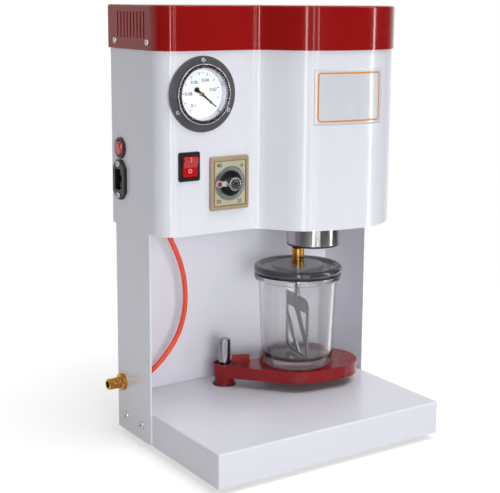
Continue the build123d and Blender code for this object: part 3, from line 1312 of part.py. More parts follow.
def vacuum_tubes():
    """Tubes from the manifold to the gauge and to the gearbox's port."""
    _, hose_y, hose_z = HOSE_ROUTE[0]
    low, high = hose_z + NIPPLE_L, hose_z + NIPPLE_L + MANIFOLD_H
    rise = [
        (GAUGE_X, hose_y, high + NIPPLE_L),
        (GAUGE_X, hose_y, GAUGE_Z),
        (GAUGE_X, HEAD_FLAT_Y + GAUGE_DEPTH + NIPPLE_L, GAUGE_Z),
    ]
    port_z = CASE_Z + CASE_BASE / 2
    cross = [
        (manifold_ends()[1] + NIPPLE_L, hose_y, (low + high) / 2),
        (TUBE_BEND_X, hose_y, (low + high) / 2),
        (TUBE_BEND_X + TUBE_BEND_RUN, CHUCK_Y, port_z),
        (CHUCK_X - PORT_REACH, CHUCK_Y, port_z),
    ]
    return [tube(rise, [TUBE_RISE_R], TUBE_R), tube(cross, [TUBE_CROSS_R, TUBE_CROSS_R], TUBE_R)]


# Post and arm
def swing_post():
    """Ground post with a threaded stud through the base's top."""
    stud_end = BASE_TOP - SHEET - POST_STUD_L
    profile = [
        (0, stud_end, 0),
        (POST_STUD_R, stud_end, 0.5),
        (POST_STUD_R, WASHER_TOP, 0),
        (POST_R, WASHER_TOP, 0),
        (POST_R, BASE_TOP + POST_H, 1.0),
        (0, BASE_TOP + POST_H, 0),
    ]
    return turned(POST_X, POST_Y, profile)


def post_washer():
    """Washer under the post."""
    ring = rod(POST_X, POST_Y, BASE_TOP, WASHER_TOP, WASHER_R)
    return ring - rod(POST_X, POST_Y, BASE_TOP - 1, WASHER_TOP + 1, POST_STUD_R + 0.1)


def post_nut():
    """Hexagonal nut under the base's top."""
    top = BASE_TOP - SHEET
    nut = Pos(POST_X, POST_Y, 0) * slab(RegularPolygon(POST_STUD_R * 1.8, 6), top - 5.0, top)
    return nut - rod(POST_X, POST_Y, top - 6, top + 1, POST_STUD_R)


def lift_bush():
    """Bush that slides on the post and that the arm turns on."""
    bush = rod(POST_X, POST_Y, WASHER_TOP, WASHER_TOP + BUSH_H, BUSH_R)
    bush += rod(POST_X, POST_Y, WASHER_TOP, WASHER_TOP + BUSH_FLANGE_T, BUSH_FLANGE_R)
    return bush - rod(POST_X, POST_Y, WASHER_TOP - 1, WASHER_TOP + BUSH_H + 1, POST_R + RUNNING)


def arm_sleeve():
    """Tube of the arm, resting on the bush's flange."""
    sleeve = rod(POST_X, POST_Y, SLEEVE_Z, SLEEVE_Z + SLEEVE_H, SLEEVE_R)
    return sleeve - rod(POST_X, POST_Y, SLEEVE_Z - 1, SLEEVE_Z + SLEEVE_H + 1, BUSH_R + RUNNING)


def tray_sketch(inset):
    """The arm's outline from above, moved inwards by inset."""
    strap_r = SLEEVE_R + ARM_SHEET - inset
    (lx, ly, left_r), (rx, ry, right_r) = TRAY_LEFT, TRAY_RIGHT
    plate = belt(lx, ly, left_r - inset, rx, ry, right_r - inset)
    neck = belt(POST_X, POST_Y, strap_r, lx, ly, left_r - inset)
    high = POST_Y + TRAY_NECK_OFF - inset
    above = Pos((POST_X + lx) / 2, high + 50) * Rectangle(200, 100)
    return plate + (neck - above) + Pos(POST_X, POST_Y) * Circle(strap_r) + Pos(lx, ly) * Circle(left_r - inset)


def arm_strap():
    """Band of sheet on edge round the tray and the sleeve, with a raised lip beside the cup."""
    band = slab(tray_sketch(0), TRAY_TOP - STRAP_H, TRAY_TOP)
    band -= slab(tray_sketch(ARM_SHEET), TRAY_TOP - STRAP_H - 1, TRAY_TOP + 1)
    lip_r = CUP_FOOT_R + LIP_GAP
    ring = Circle(lip_r + ARM_SHEET) - Circle(lip_r)
    reach = lip_r + 20
    corners = [(0, 0)]
    for degrees in LIP_SPAN:
        corners.append((reach * math.cos(math.radians(degrees)), reach * math.sin(math.radians(degrees))))
    wedge = make_face(Polyline(*corners, corners[0]))
    return band + Pos(CUP_X, CUP_Y, 0) * slab(ring & wedge, TRAY_TOP, TRAY_TOP + LIP_H)


def arm_tray():
    """Plate inside the band, with a tab bent up beside the post."""
    plate = slab(tray_sketch(ARM_SHEET), TRAY_TOP - TRAY_T, TRAY_TOP)
    plate -= rod(POST_X, POST_Y, TRAY_TOP - TRAY_T - 1, TRAY_TOP + 1, SLEEVE_R)
    start = Vector(POST_X + TAB_START_OFF[0], POST_Y + TAB_START_OFF[1])
    end = Vector(POST_X + TAB_END_OFF[0], POST_Y + TAB_END_OFF[1])
    dx, dy = end.X - start.X, end.Y - start.Y
    middle = Pos((start.X + end.X) / 2, (start.Y + end.Y) / 2, TRAY_TOP + TAB_H / 2 - TAB_SUNK)
    turn = Rot(0, 0, math.degrees(math.atan2(dy, dx)))
    return plate + middle * turn * Box(math.hypot(dx, dy), ARM_SHEET, TAB_H + 2 * TAB_SUNK)


# Cup, lid and paddle
def cup():
    """Clear cup with a thick bottom and a rim flange."""
    top, floor = CUP_TOP, TRAY_TOP + CUP_BOTTOM
    under = CUP_TOP - CUP_FLANGE_H
    profile = [
        (0, TRAY_TOP + 1.0, 0),
        (CUP_FOOT_R - 10, TRAY_TOP + 1.0, 0.5),
        (CUP_FOOT_R - 11, TRAY_TOP, 0.4),
        (CUP_FOOT_R, TRAY_TOP, 5.0),
        (CUP_TOP_R, under, 1.5),
        (CUP_FLANGE_R, under, 1.5),
        (CUP_FLANGE_R, top, 1.5),
        (CUP_TOP_R - CUP_WALL, top, 0.8),
        (CUP_FOOT_R - CUP_WALL, floor, 8.0),
        (0, floor, 0),
    ]
    return turned(CUP_X, CUP_Y, profile)


def lid_gasket():
    """Flat seal between the lid and the cup's rim."""
    ring = rod(CUP_X, CUP_Y, CUP_TOP, LID_Z, CUP_FLANGE_R - 1.8)
    return ring - rod(CUP_X, CUP_Y, CUP_TOP - 1, LID_Z + 1, CUP_TOP_R - CUP_WALL + 1.0)


def cup_lid():
    """Lid with a rounded rim, a spigot in the cup's mouth and a raised middle."""
    web = LID_Z + LID_STEP
    web_top = web + LID_WEB
    rim_in = LID_R - 2 * LID_BEAD
    bore = PADDLE_SHAFT_R + RUNNING
    profile = [
        (bore, web, 0),
        (LID_SPIGOT_R - 4.4, web, 0.5),
        (LID_SPIGOT_R - 4.4, LID_Z - 4.2, 0.5),
        (LID_SPIGOT_R, LID_Z - 4.2, 0.5),
        (LID_SPIGOT_R, LID_Z, 0),
        (LID_R, LID_Z, LID_BEAD - 0.5),
        (LID_R, LID_Z + 2 * LID_BEAD, LID_BEAD - 0.2),
        (rim_in, LID_Z + 2 * LID_BEAD, 2.4),
        (rim_in - 1.0, web_top, 1.0),
        (LID_PLATEAU_R, web_top, 0.6),
        (LID_PLATEAU_R, PLATEAU_TOP, 0.8),
        (bore, PLATEAU_TOP, 0),
    ]
    return turned(CUP_X, CUP_Y, profile)


def paddle_hub():
    """Hub with a square socket for the spindle's tip."""
    top = PLATEAU_TOP + HUB_H
    middle = PLATEAU_TOP + HUB_H * 0.45
    profile = [
        (0, PLATEAU_TOP, 0),
        (HUB_R, PLATEAU_TOP, 0.5),
        (HUB_R, middle - 1.2, 0.3),
        (HUB_R - 0.9, middle - 0.8, 0.3),
        (HUB_R - 0.9, middle + 0.8, 0.3),
        (HUB_R, middle + 1.2, 0.3),
        (HUB_R, top, 0.8),
        (0, top, 0),
    ]
    hub = turned(CUP_X, CUP_Y, profile)
    half = TIP_SIDE / 2 + SOCKET_GAP
    hub -= block(CUP_X - half, CUP_X + half, CUP_Y - half, CUP_Y + half, top - SOCKET_D, top + 1)
    return hub - rod(CUP_X, CUP_Y, PLATEAU_TOP - 1, PLATEAU_TOP + HUB_H - SOCKET_D - 2, PADDLE_SHAFT_R)


def paddle_shaft():
    """Shaft from the hub down into the cup."""
    low, high = TRAY_TOP + PADDLE_SHAFT_END, PLATEAU_TOP + HUB_H - SOCKET_D - 2
    return rod(CUP_X, CUP_Y, low, high, PADDLE_SHAFT_R)


def paddle_blade():
    """Flat blade with slanted bars, welded to the shaft in a slot."""
    half, low = BLADE_HALF, TRAY_TOP + BLADE_LIFT
    top, bar = low + BLADE_H, BLADE_BAR
    shaft_end = TRAY_TOP + PADDLE_SHAFT_END
    edge = [(-half, low, 15.0), (half, low, 2.0), (half, top, 12.0), (-half, top, 1.0)]
    sheet = outline(edge)
    inner, head, foot = half - bar, shaft_end + 2.0, low + bar
    upper_right = [(6.0, head, 1.0), (inner, head, 1.0), (inner, shaft_end - 31.0, 1.0)]
    middle = [
        (-inner, head, 1.0),
        (-5.0, head, 1.0),
        (inner, shaft_end - 42.0, 1.0),
        (inner, foot, 1.0),
        (9.0, foot, 1.0),
        (-inner, shaft_end - 9.0, 1.0),
    ]
    lower_left = [
        (-inner, shaft_end - 19.0, 1.0),
        (-inner, foot + 9.0, 3.0),
        (-inner + 9.0, foot, 3.0),
        (0.0, foot, 1.0),
    ]
    for window in (upper_right, middle, lower_left):
        sheet -= outline(window)
    across = math.radians(BLADE_DEG)
    ex, ey = math.cos(across), math.sin(across)
    plane = Plane(origin=(CUP_X, CUP_Y, 0), x_dir=(ex, ey, 0), z_dir=(ey, -ex, 0))
    blade = plane * Pos(0, 0, -BLADE_T / 2) * extrude(sheet, BLADE_T)
    return blade - rod(CUP_X, CUP_Y, shaft_end, top + 1, PADDLE_SHAFT_R)


NODES = [
    base_pan, bottom_plate, bottom_screws, rubber_feet, column, column_screws,
    head_shell, head_floor, head_brackets, rear_cover, rear_cover_screws, top_cap, top_cap_screws,
    gauge_flange, gauge_case, gauge_bezel, gauge_glass, gauge_dial, gauge_needle, gauge_screws,
    power_switch_body, power_switch_rocker, timer_case, timer_face, timer_dial, timer_knob,
    mains_inlet, inlet_pins, inlet_screws, side_switch_body, side_switch_rocker,
    hose_fitting, fitting_nut, vacuum_hose, hose_grommet,
    swing_post, post_washer, post_nut, lift_bush, arm_sleeve, arm_tray, arm_strap,
    cup, cup_lid, lid_gasket, paddle_hub, paddle_shaft, paddle_blade,
    seal_chamber, chamber_gasket, chamber_screws, drive_spindle, spindle_bearings,
    gearbox_case, gearbox_cover, output_gear, motor_rotor, motor_case,
    vacuum_manifold, vacuum_tubes,
]

os.makedirs("parts", exist_ok=True)
for make in NODES:
    made = make()
    shape = Compound(children=made) if isinstance(made, list) else made
    export_step(shape, os.path.join("parts", make.__name__ + ".step"))
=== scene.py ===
"""Finishes, fine pieces, light and camera for a dental vacuum mixer on a bench.

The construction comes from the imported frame. This script gives every sub-part its finish, adds
the pieces that are too fine or too soft for the construction, and sets up a plain pale studio.
All lengths are metres in the frame's own axes: +X right, +Y back, +Z up.
"""
from __future__ import annotations

import logging
import math
from collections.abc import Callable, Iterable, Sequence
from dataclasses import dataclass
from enum import Enum

import bmesh
import bpy
import numpy as np
from mathutils import Matrix, Vector

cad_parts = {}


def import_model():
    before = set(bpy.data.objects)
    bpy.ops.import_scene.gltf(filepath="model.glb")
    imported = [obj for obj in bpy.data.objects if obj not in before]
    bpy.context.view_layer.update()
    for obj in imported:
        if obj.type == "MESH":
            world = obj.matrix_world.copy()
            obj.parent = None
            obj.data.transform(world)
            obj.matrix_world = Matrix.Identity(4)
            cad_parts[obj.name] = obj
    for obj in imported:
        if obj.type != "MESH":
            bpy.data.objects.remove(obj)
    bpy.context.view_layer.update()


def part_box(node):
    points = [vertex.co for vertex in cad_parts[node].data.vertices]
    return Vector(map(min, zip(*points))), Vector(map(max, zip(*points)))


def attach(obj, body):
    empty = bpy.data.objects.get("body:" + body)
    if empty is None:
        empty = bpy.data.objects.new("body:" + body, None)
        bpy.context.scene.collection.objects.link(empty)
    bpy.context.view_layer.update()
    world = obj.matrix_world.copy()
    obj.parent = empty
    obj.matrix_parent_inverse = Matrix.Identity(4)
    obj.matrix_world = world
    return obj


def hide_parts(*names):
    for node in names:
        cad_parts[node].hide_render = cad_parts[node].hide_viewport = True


LOG = logging.getLogger("vacuum_mixer")
MM = 0.001
SAME_PLACE = 1e-7
Colour = tuple[float, float, float]
Point = tuple[float, float, float]
Pair = tuple[float, float]
Socket = bpy.types.NodeSocket
Setting = float | tuple[float, ...] | Socket


def srgb(red: int, green: int, blue: int) -> Colour:
    """Turn a colour of 0 to 255 per channel into linear values.

    Args:
        red: Red channel.
        green: Green channel.
        blue: Blue channel.

    Returns:
        The linear colour that a shader takes.
    """
    steps = np.array([red, green, blue]) / 255.0
    low = steps / 12.92
    high = ((steps + 0.055) / 1.055) ** 2.4
    return tuple(float(v) for v in np.where(steps <= 0.04045, low, high))


def centre(node: str) -> Vector:
    """Middle of a sub-part's box."""
    low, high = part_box(node)
    return (low + high) / 2


class Tree:
    """A shader node tree that is filled one node at a time."""

    def __init__(self, tree: bpy.types.NodeTree) -> None:
        """Keep the tree that is filled."""
        self.tree = tree

    def add(self, kind: str, settings: dict[str, object] | None = None, **inputs: Setting) -> bpy.types.Node:
        """Add one node.

        Args:
            kind: The node's type, without its ShaderNode prefix.
            settings: Properties of the node itself.
            inputs: Values or output sockets for its inputs; an underscore stands for a space.

        Returns:
            The new node.
        """
        node = self.tree.nodes.new("ShaderNode" + kind)
        for name, value in (settings or {}).items():
            setattr(node, name, value)
        for name, value in inputs.items():
            self.feed(node, name.replace("_", " "), value)
        return node

    def feed(self, node: bpy.types.Node, socket: str | int, value: Setting) -> None:
        """Set an input to a value, or link an output socket to it.

        Args:
            node: The node that takes the value.
            socket: The input's name or number.
            value: A number, colour or output socket.
        """
        target = node.inputs[socket]
        if isinstance(value, Socket):
            self.tree.links.new(value, target)
            return
        if target.type == "RGBA" and len(value) == 3:
            value = (*value, 1.0)
        target.default_value = value

    def math(self, operation: str, first: Setting, second: Setting = 0.0) -> Socket:
        """Work out one value from two.

        Args:
            operation: The Math node's operation.
            first: The first number or socket.
            second: The second number or socket.

        Returns:
            The result's socket.
        """
        node = self.add("Math", {"operation": operation})
        self.feed(node, 0, first)
        self.feed(node, 1, second)
        return node.outputs[0]

    def total(self, *shares: tuple[Setting, Setting]) -> Socket:
        """Add up products.

        Args:
            shares: Pairs of a value and its weight.

        Returns:
            The sum's socket.
        """
        products = [self.math("MULTIPLY", value, weight) for value, weight in shares]
        result = products[0]
        for product in products[1:]:
            result = self.math("ADD", result, product)
        return result

    def about(self, middle: Setting, change: Socket, spread: Setting) -> Socket:
        """Move a value up and down round its middle.

        Args:
            middle: The value at a change of a half.
            change: A value from 0 to 1.
            spread: How much the value moves over that range.

        Returns:
            The socket of middle + (change - 1/2) spread.
        """
        return self.math("ADD", middle, self.math("MULTIPLY", self.math("SUBTRACT", change, 0.5), spread))

    def mix(self, factor: Setting, first: Setting, second: Setting) -> Socket:
        """Mix two colours.

        Args:
            factor: 0 gives the first colour and 1 the second.
            first: The first colour or socket.
            second: The second colour or socket.

        Returns:
            The mixed colour's socket.
        """
        node = self.add("Mix", {"data_type": "RGBA", "clamp_factor": True})
        self.feed(node, 0, factor)
        self.feed(node, 6, first)
        self.feed(node, 7, second)
        return node.outputs[2]

    def span(self, value: Socket, low: float, high: float, to_low: float = 0.0,
             to_high: float = 1.0) -> Socket:
        """Map one range onto another in a straight line, held at its ends.

        Args:
            value: The value to map.
            low: Where the range starts.
            high: Where it ends.
            to_low: What its start becomes.
            to_high: What its end becomes.

        Returns:
            The mapped value's socket.
        """
        node = self.add("MapRange", {"clamp": True})
        for number, item in enumerate((value, low, high, to_low, to_high)):
            self.feed(node, number, item)
        return node.outputs[0]

    def place(self) -> Socket:
        """Where a point of the piece lies."""
        return self.add("TexCoord").outputs["Object"]

    def noise(self, place: Socket, scale: Setting, detail: float, rough: float) -> Socket:
        """A noise's value.

        Args:
            place: Where the noise is read.
            scale: Its scale per unit of that place.
            detail: How many finer layers it has.
            rough: How strong each finer layer is.

        Returns:
            The value's socket.
        """
        return self.add("TexNoise", Vector=place, Scale=scale, Detail=detail, Roughness=rough).outputs[0]


class Effect:
    """Shared shader node groups, each built once and then placed in many materials."""

    CLOUD_FINER = 7.0
    CLOUD_SHARES = (0.7, 0.3)
    CLOUD_RANGE = (0.35, 0.68)
    DUST_COLOUR = (0.62, 0.6, 0.57, 1)
    DUST_SCALE = 60.0
    DUST_RANGE = (0.35, 0.75)
    UPWARD_RANGE = (0.55, 0.98)
    STREAK_RANGE = (0.3, 0.7)
    built: dict[str, bpy.types.NodeTree] = {}

    @classmethod
    def group(cls, name: str, inputs: Sequence[tuple[str, str, object]],
              outputs: Sequence[tuple[str, str]],
              fill: Callable[[Tree, bpy.types.Node, bpy.types.Node], None]) -> bpy.types.NodeTree:
        """Build a node group the first time that it is asked for.

        Args:
            name: The group's name.
            inputs: Name, socket type and default value of each input.
            outputs: Name and socket type of each output.
            fill: A function that adds the nodes between the group's input and output.

        Returns:
            The group's node tree.
        """
        if name not in cls.built:
            tree = bpy.data.node_groups.new(name, "ShaderNodeTree")
            for label, kind, value in inputs:
                socket = tree.interface.new_socket(label, in_out="INPUT", socket_type="NodeSocket" + kind)
                socket.default_value = value
            for label, kind in outputs:
                tree.interface.new_socket(label, in_out="OUTPUT", socket_type="NodeSocket" + kind)
            start = tree.nodes.new("NodeGroupInput")
            end = tree.nodes.new("NodeGroupOutput")
            fill(Tree(tree), start, end)
            cls.built[name] = tree
        return cls.built[name]

    @classmethod
    def mottle(cls) -> bpy.types.NodeTree:
        """Slow cloudy change of a colour, as ageing and handling leave it."""

        def fill(tree: Tree, start: bpy.types.Node, end: bpy.types.Node) -> None:
            """Mix the colour towards a second one by two sizes of noise."""
            given, place = start.outputs, tree.place()
            wide = tree.noise(place, given["Scale"], 3.0, 0.55)
            fine = tree.noise(place, tree.math("MULTIPLY", given["Scale"], cls.CLOUD_FINER), 2.0, 0.5)
            both = tree.total(*zip((wide, fine), cls.CLOUD_SHARES))
            mask = tree.math("MULTIPLY", tree.span(both, *cls.CLOUD_RANGE), given["Amount"])
            tree.feed(end, "Colour", tree.mix(mask, given["Colour"], given["Second"]))

        return cls.group(
            "mottle",
            [("Colour", "Color", (0.5, 0.5, 0.5, 1)), ("Second", "Color", (0.4, 0.4, 0.4, 1)),
             ("Scale", "Float", 12.0), ("Amount", "Float", 0.5)],
            [("Colour", "Color")], fill)

    @classmethod
    def skin(cls) -> bpy.types.NodeTree:
        """Fine relief of a sprayed or moulded surface, with a slow waviness under it."""

        def fill(tree: Tree, start: bpy.types.Node, end: bpy.types.Node) -> None:
            """Add a fine and a coarse noise as one height, and give roughness its grain."""
            given, place = start.outputs, tree.place()
            fine = tree.noise(place, given["Grain"], 2.0, 0.45)
            slow = tree.noise(place, given["Wave"], 1.0, 0.4)
            height = tree.math("ADD", fine, tree.math("MULTIPLY", slow, given["Slow"]))
            tree.feed(end, "Height", height)
            tree.feed(end, "Roughness", tree.about(given["Roughness"], fine, given["Spread"]))

        return cls.group(
            "skin",
            [("Grain", "Float", 900.0), ("Wave", "Float", 40.0), ("Slow", "Float", 0.4),
             ("Roughness", "Float", 0.3), ("Spread", "Float", 0.1)],
            [("Height", "Float"), ("Roughness", "Float")], fill)

    @classmethod
    def dust(cls) -> bpy.types.NodeTree:
        """Thin dust on faces that look up, thicker where it gathers."""

        def fill(tree: Tree, start: bpy.types.Node, end: bpy.types.Node) -> None:
            """Take the upward part of the normal times a patchy noise."""
            normal = tree.add("NewGeometry").outputs["Normal"]
            facing = tree.span(tree.add("SeparateXYZ", Vector=normal).outputs[2], *cls.UPWARD_RANGE)
            patch = tree.span(tree.noise(tree.place(), cls.DUST_SCALE, 4.0, 0.7), *cls.DUST_RANGE)
            mask = tree.math("MULTIPLY", tree.math("MULTIPLY", facing, patch), start.outputs["Amount"])
            tree.feed(end, "Colour", tree.mix(mask, start.outputs["Colour"], cls.DUST_COLOUR))

        return cls.group("dust", [("Colour", "Color", (0.5, 0.5, 0.5, 1)), ("Amount", "Float", 0.1)],
                         [("Colour", "Color")], fill)

    @classmethod
    def streaks(cls) -> bpy.types.NodeTree:
        """Marks that a tool or a polishing wheel leaves, drawn out along chosen axes; on the post and the
        chrome they are also painted reflection bands.
        """

        def fill(tree: Tree, start: bpy.types.Node, end: bpy.types.Node) -> None:
            """Stretch a fine noise by the scale vector and darken the colour along it."""
            given = start.outputs
            turned_place = tree.add("Mapping", Vector=tree.place(), Scale=given["Stretch"]).outputs[0]
            lines = tree.noise(turned_place, 1.0, 4.0, 0.65)
            mask = tree.span(lines, *cls.STREAK_RANGE)
            deep = tree.math("MULTIPLY", mask, given["Amount"])
            tree.feed(end, "Colour", tree.mix(deep, given["Colour"], given["Second"]))
            tree.feed(end, "Height", lines)
            tree.feed(end, "Roughness", tree.about(given["Roughness"], mask, given["Spread"]))

        return cls.group(
            "streaks",
            [("Colour", "Color", (0.5, 0.5, 0.5, 1)), ("Second", "Color", (0.3, 0.3, 0.3, 1)),
             ("Stretch", "Vector", (900.0, 900.0, 20.0)), ("Amount", "Float", 0.5),
             ("Roughness", "Float", 0.2), ("Spread", "Float", 0.1)],
            [("Colour", "Color"), ("Height", "Float"), ("Roughness", "Float")], fill)


class Sheen(Enum):
    """How a finish answers light, by the kind of surface."""

    PAINT = "sprayed and baked paint"
    METAL = "bare or plated metal"
    PLASTIC = "moulded plastic"
    RUBBER = "rubber"
    CLEAR = "clear plastic or glass"


@dataclass(frozen=True)
class Zone:
    """A second colour below a height, or inside a radius about an upright axis.

    It is full up to the start and gone from the end on.
    """

    colour: Colour
    start: float
    end: float
    axis: Pair | None = None

    def tint(self, tree: Tree, colour: Socket) -> Socket:
        """Mix the zone's colour in.

        Args:
            tree: The material's tree.
            colour: The colour outside the zone.

        Returns:
            The mixed colour's socket.
        """
        place = tree.add("SeparateXYZ", Vector=tree.place())
        measure = place.outputs[2]
        if self.axis:
            squares = [(tree.math("POWER", tree.math("SUBTRACT", place.outputs[n], middle), 2.0), 1.0)
                       for n, middle in enumerate(self.axis)]
            measure = tree.math("SQRT", tree.total(*squares))
        return tree.mix(tree.span(measure, self.start, self.end), (*self.colour, 1), colour)


@dataclass(frozen=True)
class Finish:
    """One surface finish, with its colour, its change over the surface and its relief.

    Scales are per metre. The relief's heights are in metres.
    """

    name: str
    sheen: Sheen
    colour: Colour
    second: Colour
    rough: float = 0.3
    spread: float = 0.06
    mottle: float = 0.3
    mottle_scale: float = 14.0
    grain: float = 1200.0
    wave: float = 45.0
    relief: float = 0.00002
    slow: float = 0.5
    dust: float = 0.0
    coat: float = 0.0
    coat_rough: float = 0.06
    specular: float = 0.5
    stretch: Point = (400.0, 400.0, 400.0)
    streak: float = 0.4
    open_wall: Colour = (0.93, 0.93, 0.94)
    zone: Zone | None = None

    def material(self) -> bpy.types.Material:
        """Build the finish as a material, or return it if it is already there.

        Returns:
            The material.
        """
        known = bpy.data.materials.get(self.name)
        if known:
            return known
        made = bpy.data.materials.new(self.name)
        made.use_nodes = True
        made.node_tree.nodes.clear()
        tree = Tree(made.node_tree)
        out = tree.add("OutputMaterial")
        shader = tree.add("BsdfPrincipled", Roughness=self.rough, IOR=1.5)
        tree.feed(shader, "Specular IOR Level", self.specular)
        tree.feed(out, "Surface", shader.outputs[0])
        colour, height, rough = self.surface(tree)
        tree.feed(shader, "Base Color", colour)
        tree.feed(shader, "Roughness", rough)
        bump = tree.add("Bump", Strength=1.0, Distance=self.relief, Height=height)
        tree.feed(shader, "Normal", bump.outputs[0])
        if self.sheen is Sheen.METAL:
            tree.feed(shader, "Metallic", 1.0)
        if self.sheen is Sheen.CLEAR:
            tree.feed(shader, "Transmission Weight", 1.0)
            self.let_light_through(tree, shader, out)
        if self.coat:
            tree.feed(shader, "Coat Weight", self.coat)
            tree.feed(shader, "Coat Roughness", self.coat_rough)
        return made

    def surface(self, tree: Tree) -> tuple[Socket, Socket, Socket]:
        """Add the nodes that change over the surface.

        Args:
            tree: The material's tree.

        Returns:
            Sockets for colour, relief height and roughness.
        """
        second = (*self.second, 1)
        cloud = self.effect(tree, Effect.mottle(), Colour=(*self.colour, 1), Second=second,
                            Scale=self.mottle_scale, Amount=self.mottle)
        colour = cloud["Colour"]
        if self.zone:
            colour = self.zone.tint(tree, colour)
        if self.sheen is Sheen.METAL:
            skin = self.effect(tree, Effect.streaks(), Colour=colour, Second=second, Stretch=self.stretch,
                               Amount=self.streak, Roughness=self.rough, Spread=self.spread)
            colour = skin["Colour"]
        else:
            skin = self.effect(tree, Effect.skin(), Grain=self.grain, Wave=self.wave, Slow=self.slow,
                               Roughness=self.rough, Spread=self.spread)
        if self.dust:
            colour = self.effect(tree, Effect.dust(), Colour=colour, Amount=self.dust)["Colour"]
        return colour, skin["Height"], skin["Roughness"]

    def let_light_through(self, tree: Tree, shader: bpy.types.Node, out: bpy.types.Node) -> None:
        """Let lamps shine through a clear wall almost undimmed.

        Args:
            tree: The material's tree.
            shader: The wall's shader for every other ray.
            out: The material's output.
        """
        both = tree.add("MixShader")
        tree.feed(both, 0, tree.add("LightPath").outputs["Is Shadow Ray"])
        tree.feed(both, 1, shader.outputs[0])
        tree.feed(both, 2, tree.add("BsdfTransparent", Color=self.open_wall).outputs[0])
        tree.feed(out, "Surface", both.outputs[0])

    @staticmethod
    def effect(tree: Tree, group: bpy.types.NodeTree, **inputs: Setting) -> bpy.types.NodeOutputs:
        """Place a shared effect in a material.

        Args:
            tree: The material's tree.
            group: The effect's node group.
            inputs: Values or output sockets for its inputs.

        Returns:
            The effect's outputs, by name.
        """
        node = tree.tree.nodes.new("ShaderNodeGroup")
        node.node_tree = group
        for name, value in inputs.items():
            tree.feed(node, name, value)
        return node.outputs


WHITE_PAINT = Finish("white_enamel", Sheen.PAINT, srgb(232, 233, 241), srgb(224, 226, 236), rough=0.2,
                     spread=0.04, mottle=0.5, mottle_scale=5.0, grain=520.0, wave=60.0,
                     relief=0.000012, slow=1.6, dust=0.05, coat=0.12, specular=0.3)
RED_CAP = Finish("red_enamel", Sheen.PAINT, srgb(152, 18, 16), srgb(130, 12, 13), rough=0.2, spread=0.06,
                 mottle=0.35, mottle_scale=9.0, grain=520.0, wave=60.0, relief=0.000014, slow=1.4,
                 dust=0.05, coat=0.4, specular=0.1)
RED_ARM = Finish("red_arm_enamel", Sheen.PAINT, srgb(138, 21, 24), srgb(112, 14, 18), rough=0.26,
                 spread=0.08, mottle=0.7, mottle_scale=22.0, grain=480.0, wave=70.0, relief=0.000018,
                 slow=1.2, dust=0.1, coat=0.15, specular=0.3)
GAUGE_PAINT = Finish("gauge_grey_paint", Sheen.PAINT, srgb(84, 84, 88), srgb(68, 68, 73), rough=0.34,
                     mottle=0.5, mottle_scale=30.0, dust=0.08, coat=0.15, specular=0.4)
STEEL = Finish("plain_steel", Sheen.METAL, srgb(196, 196, 198), srgb(132, 132, 136), rough=0.26,
               spread=0.12, mottle=0.4, mottle_scale=60.0, relief=0.000006, streak=0.5)
# Its strong dark upright streaks are partly drawn marks and partly painted reflection bands round the post.
POST_STEEL = Finish("drawn_post_steel", Sheen.METAL, srgb(198, 198, 200), srgb(96, 97, 101), rough=0.16,
                    spread=0.12, mottle=0.35, mottle_scale=25.0, relief=0.000006,
                    stretch=(420.0, 420.0, 4.0), streak=0.75)
SCREW_STEEL = Finish("zinc_screws", Sheen.METAL, srgb(206, 206, 205), srgb(140, 140, 138), rough=0.28,
                     spread=0.15, mottle=0.5, mottle_scale=200.0, relief=0.00001, streak=0.45)
# Its dark upright streaks are partly polishing marks and partly painted reflection bands on the chamber and
# the bezel.
CHROME = Finish("polished_chrome", Sheen.METAL, srgb(190, 187, 190), srgb(112, 110, 112), rough=0.2,
                spread=0.06, mottle=0.3, mottle_scale=20.0, relief=0.000002,
                stretch=(260.0, 260.0, 3.0), streak=0.5)
BRASS = Finish("turned_brass", Sheen.METAL, srgb(222, 166, 84), srgb(140, 92, 38), rough=0.24,
               spread=0.1, mottle=0.5, mottle_scale=120.0, relief=0.000006,
               stretch=(900.0, 60.0, 900.0), streak=0.45)
CAST = Finish("cast_alloy", Sheen.METAL, srgb(176, 178, 182), srgb(130, 132, 138), rough=0.5,
              spread=0.15, mottle=0.6, mottle_scale=90.0, relief=0.00005, streak=0.3)
RUBBER = Finish("black_rubber", Sheen.RUBBER, srgb(38, 38, 40), srgb(50, 50, 51), rough=0.62,
                spread=0.14, mottle=0.5, mottle_scale=90.0, grain=1500.0, relief=0.00004, dust=0.15)
BLACK_PLASTIC = Finish("black_moulding", Sheen.PLASTIC, srgb(24, 25, 28), srgb(34, 35, 38), rough=0.34,
                       spread=0.12, mottle=0.4, mottle_scale=80.0, grain=2200.0, relief=0.00003,
                       dust=0.05, specular=0.35)
# The pale grey disc inside the lid's rim, 44.5 to 47.5 mm about its axis, is a painted reflection of the
# white back panel on the dark top.
DARK_PLASTIC = Finish("dark_lid_moulding", Sheen.PLASTIC, srgb(66, 67, 70), srgb(50, 51, 54), rough=0.2,
                      spread=0.1, mottle=0.6, mottle_scale=30.0, grain=900.0, wave=70.0,
                      relief=0.00002, slow=1.5, dust=0.1, coat=0.3,
                      zone=Zone(srgb(146, 143, 139), 0.0445, 0.0475, axis=(0.053, 0.0355)))
RED_PLASTIC = Finish("red_moulding", Sheen.PLASTIC, srgb(196, 10, 16), srgb(166, 6, 12), rough=0.22,
                     spread=0.08, mottle=0.5, mottle_scale=60.0, grain=1400.0, relief=0.00001,
                     coat=0.3)
TIMER_FRAME = Finish("timer_frame_moulding", Sheen.PLASTIC, srgb(172, 156, 131), srgb(152, 134, 108),
                     rough=0.42, spread=0.12, mottle=0.6, mottle_scale=50.0, grain=1800.0,
                     relief=0.00003, dust=0.05)
TIMER_CARD = Finish("timer_face_card", Sheen.PLASTIC, srgb(190, 188, 158), srgb(176, 178, 138), rough=0.4,
                    mottle=0.7, mottle_scale=26.0, grain=900.0, relief=0.00001)
DIAL_WHITE = Finish("dial_print", Sheen.PAINT, srgb(226, 227, 234), srgb(216, 218, 227), rough=0.45,
                    mottle=0.4, mottle_scale=40.0, relief=0.000004)
